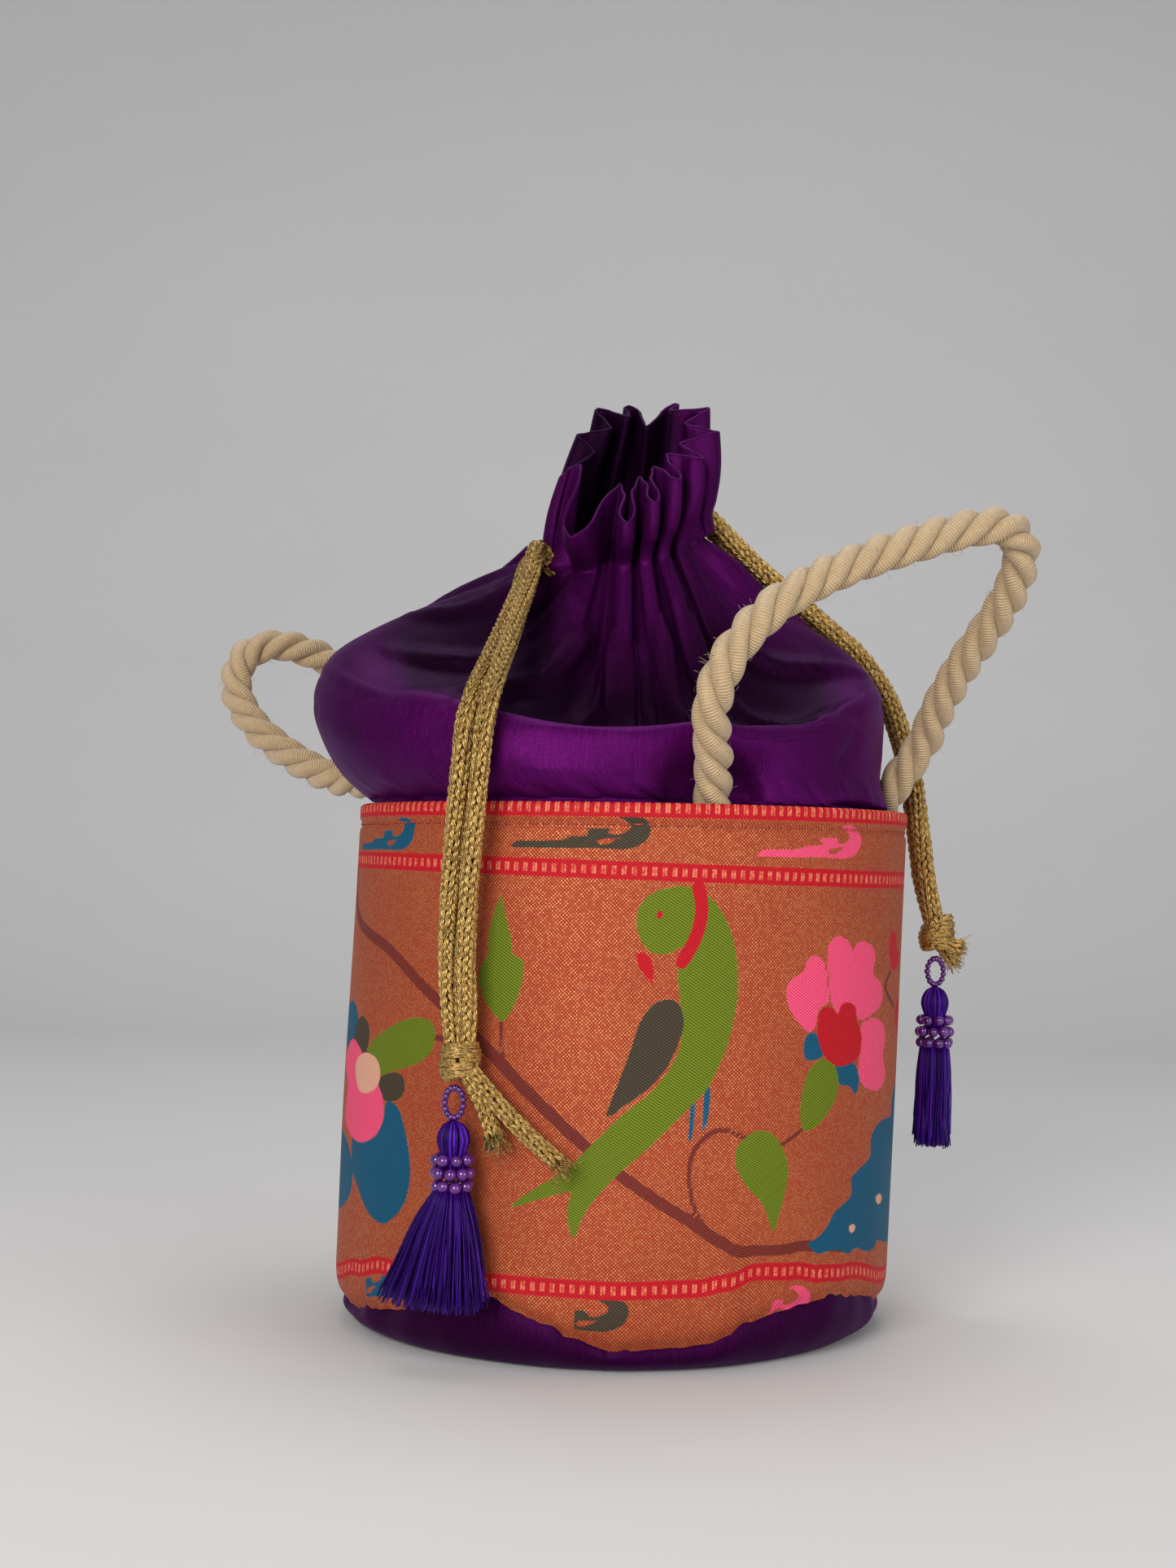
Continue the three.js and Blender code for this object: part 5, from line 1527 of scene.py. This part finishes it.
def buildTassel(which, knot, axis, skirt, halfWide, halfDeep, lean, seed):
    gen = np.random.default_rng(seed)
    outward = np.array([axis[0], axis[1], 0]) / math.hypot(axis[0], axis[1])
    across = np.array([-outward[1], outward[0], 0])
    loopTop = knot[2] - cord["knotHeight"] / 2 - 0.3
    loopZ = loopTop - tassel["loopHigh"]
    top = np.array([axis[0], axis[1], loopTop - 2 * tassel["loopHigh"] - 0.3])
    collarTop = top[2] - tassel["headHeight"] - 0.3
    collarLow = collarTop - tassel["collarHeight"]

    def turned(a, deep=1.0):
        return across * math.cos(a) + outward * math.sin(a) * deep

    silk = Bundle()
    # head: yarns folded over the loop
    for k in range(tassel["headYarns"]):
        a = k / tassel["headYarns"] * 2 * math.pi + gen.normal(0, 0.04)
        way = turned(a, 0.92)
        r = tassel["head"] * gen.uniform(0.9, 1.0)
        path = np.array([top + way * 0.5 + [0, 0, 0.4], top + way * r * 0.62 + [0, 0, -0.5],
                         top + way * r * 0.95 + [0, 0, -2.6], top + way * r + [0, 0, -4.6],
                         top + way * tassel["core"] + [0, 0, -tassel["headHeight"] - 0.6],
                         top + way * (tassel["core"] - 0.2) + [0, 0, -tassel["headHeight"] - 4.0]])
        silk.tube(smoothPath(path, count=12)[0], 0.26, 4, gen.uniform())
    silk.ball(top - [0, 0, 4.0], np.array([3.5, 3.3, 3.9]), 16, 10, 0.2)
    skirtTop = collarLow - 0.2
    for k in range(tassel["strands"]):
        a = gen.uniform(0, 2 * math.pi)
        f = math.sqrt(gen.uniform(0, 1))
        start = np.array([axis[0], axis[1], skirtTop]) + turned(a) * f * (tassel["core"] + 1.0)
        start[2] += 1.5
        reach = skirt * gen.uniform(0.9, 1.03)
        flare = np.array([math.cos(a) * halfWide * f, math.sin(a) * halfDeep * f]) * gen.uniform(0.85, 1.08)
        end = np.array([axis[0] + lean, axis[1], skirtTop - reach + 0.06 * f * f * halfWide]) \
            + across * flare[0] + outward * flare[1]
        mid1 = mix(start, end, 0.32) + turned(a, 0.5) * 0.9 * f
        mid2 = mix(start, end, 0.7) + gen.normal(0, 0.28, 3)
        path = smoothPath(np.array([start, mid1, mid2, end + gen.normal(0, 0.25, 3)]), count=7)[0]
        silk.tube(path, tassel["strandRadius"] * gen.uniform(0.8, 1.15), 4, gen.uniform() * 0.9)
    # stray threads beside the skirt
    for _ in range(tassel["strays"][which]):
        a = gen.uniform(-1.2, 1.2)
        start = np.array([axis[0] + lean * 0.5, axis[1], skirtTop - skirt * gen.uniform(0.1, 0.5)])
        end = start + across * (gen.uniform(4, 10) * math.copysign(1, a)) * min(1, halfWide / 8) \
            + outward * gen.uniform(0, 2) - np.array([0, 0, skirt * gen.uniform(0.35, 0.62)])
        end[2] = max(end[2], skirtTop - skirt - 1)
        path = smoothPath(np.array([start, mix(start, end, 0.5) + gen.normal(0, 0.8, 3), end]), count=10)[0]
        silk.tube(path, 0.07, 3, 0.8)
    silkObj = dress(silk.build(f"tassel_{which}_silk", silkLook), "tassel_" + which)
    beads = Bundle()
    step = tassel["collarHeight"] / tassel["rows"]
    for row in range(tassel["rows"]):
        z = collarLow + (row + 0.5) * step
        for k in range(tassel["beads"]):
            a = (k + 0.5 * (row % 2)) / tassel["beads"] * 2 * math.pi
            way = turned(a)
            jitter = gen.normal(0, 0.09, 3)
            size = np.array([1, 1, 1]) * tassel["beadRadius"] * gen.uniform(0.93, 1.04)
            beads.ball(np.array([axis[0], axis[1], z]) + way * tassel["beadRing"] + jitter, size, 16, 10,
                       gen.uniform(), way)
    beadObj = dress(beads.build("beads_" + which, beadLook), "bead_collar_" + which)
    loop = Bundle()
    n = tassel["loopBeads"]
    for k in range(n):
        a = (k + 0.5) / n * 2 * math.pi
        c = np.array([axis[0] + math.cos(a) * (tassel["loopWide"] - 0.9), axis[1] + 0.25 * math.sin(3 * a),
                      loopZ + math.sin(a) * (tassel["loopHigh"] - 0.9)])
        loop.ball(c, 0.88 * gen.uniform(0.94, 1.04), 12, 8, gen.uniform() * 0.5,
                  [-math.sin(a), 0, math.cos(a)])
    loopObj = dress(loop.build(f"bead_loop_{which}_strung", beadLook), "bead_loop_" + which)
    cordPieces[which] += [silkObj, beadObj, loopObj]


buildTassel("left", leftKnot, polar(float(bodyAxis(50)), 0, 83.8, -28.6, 0), 28, 16.4, 6.5, -4.6, 61)
buildTassel("right", rightKnot, np.array([90.3, 14, 0]), 27, 5.6, 5, -0.5, 62)
print("stage: tassels ready")
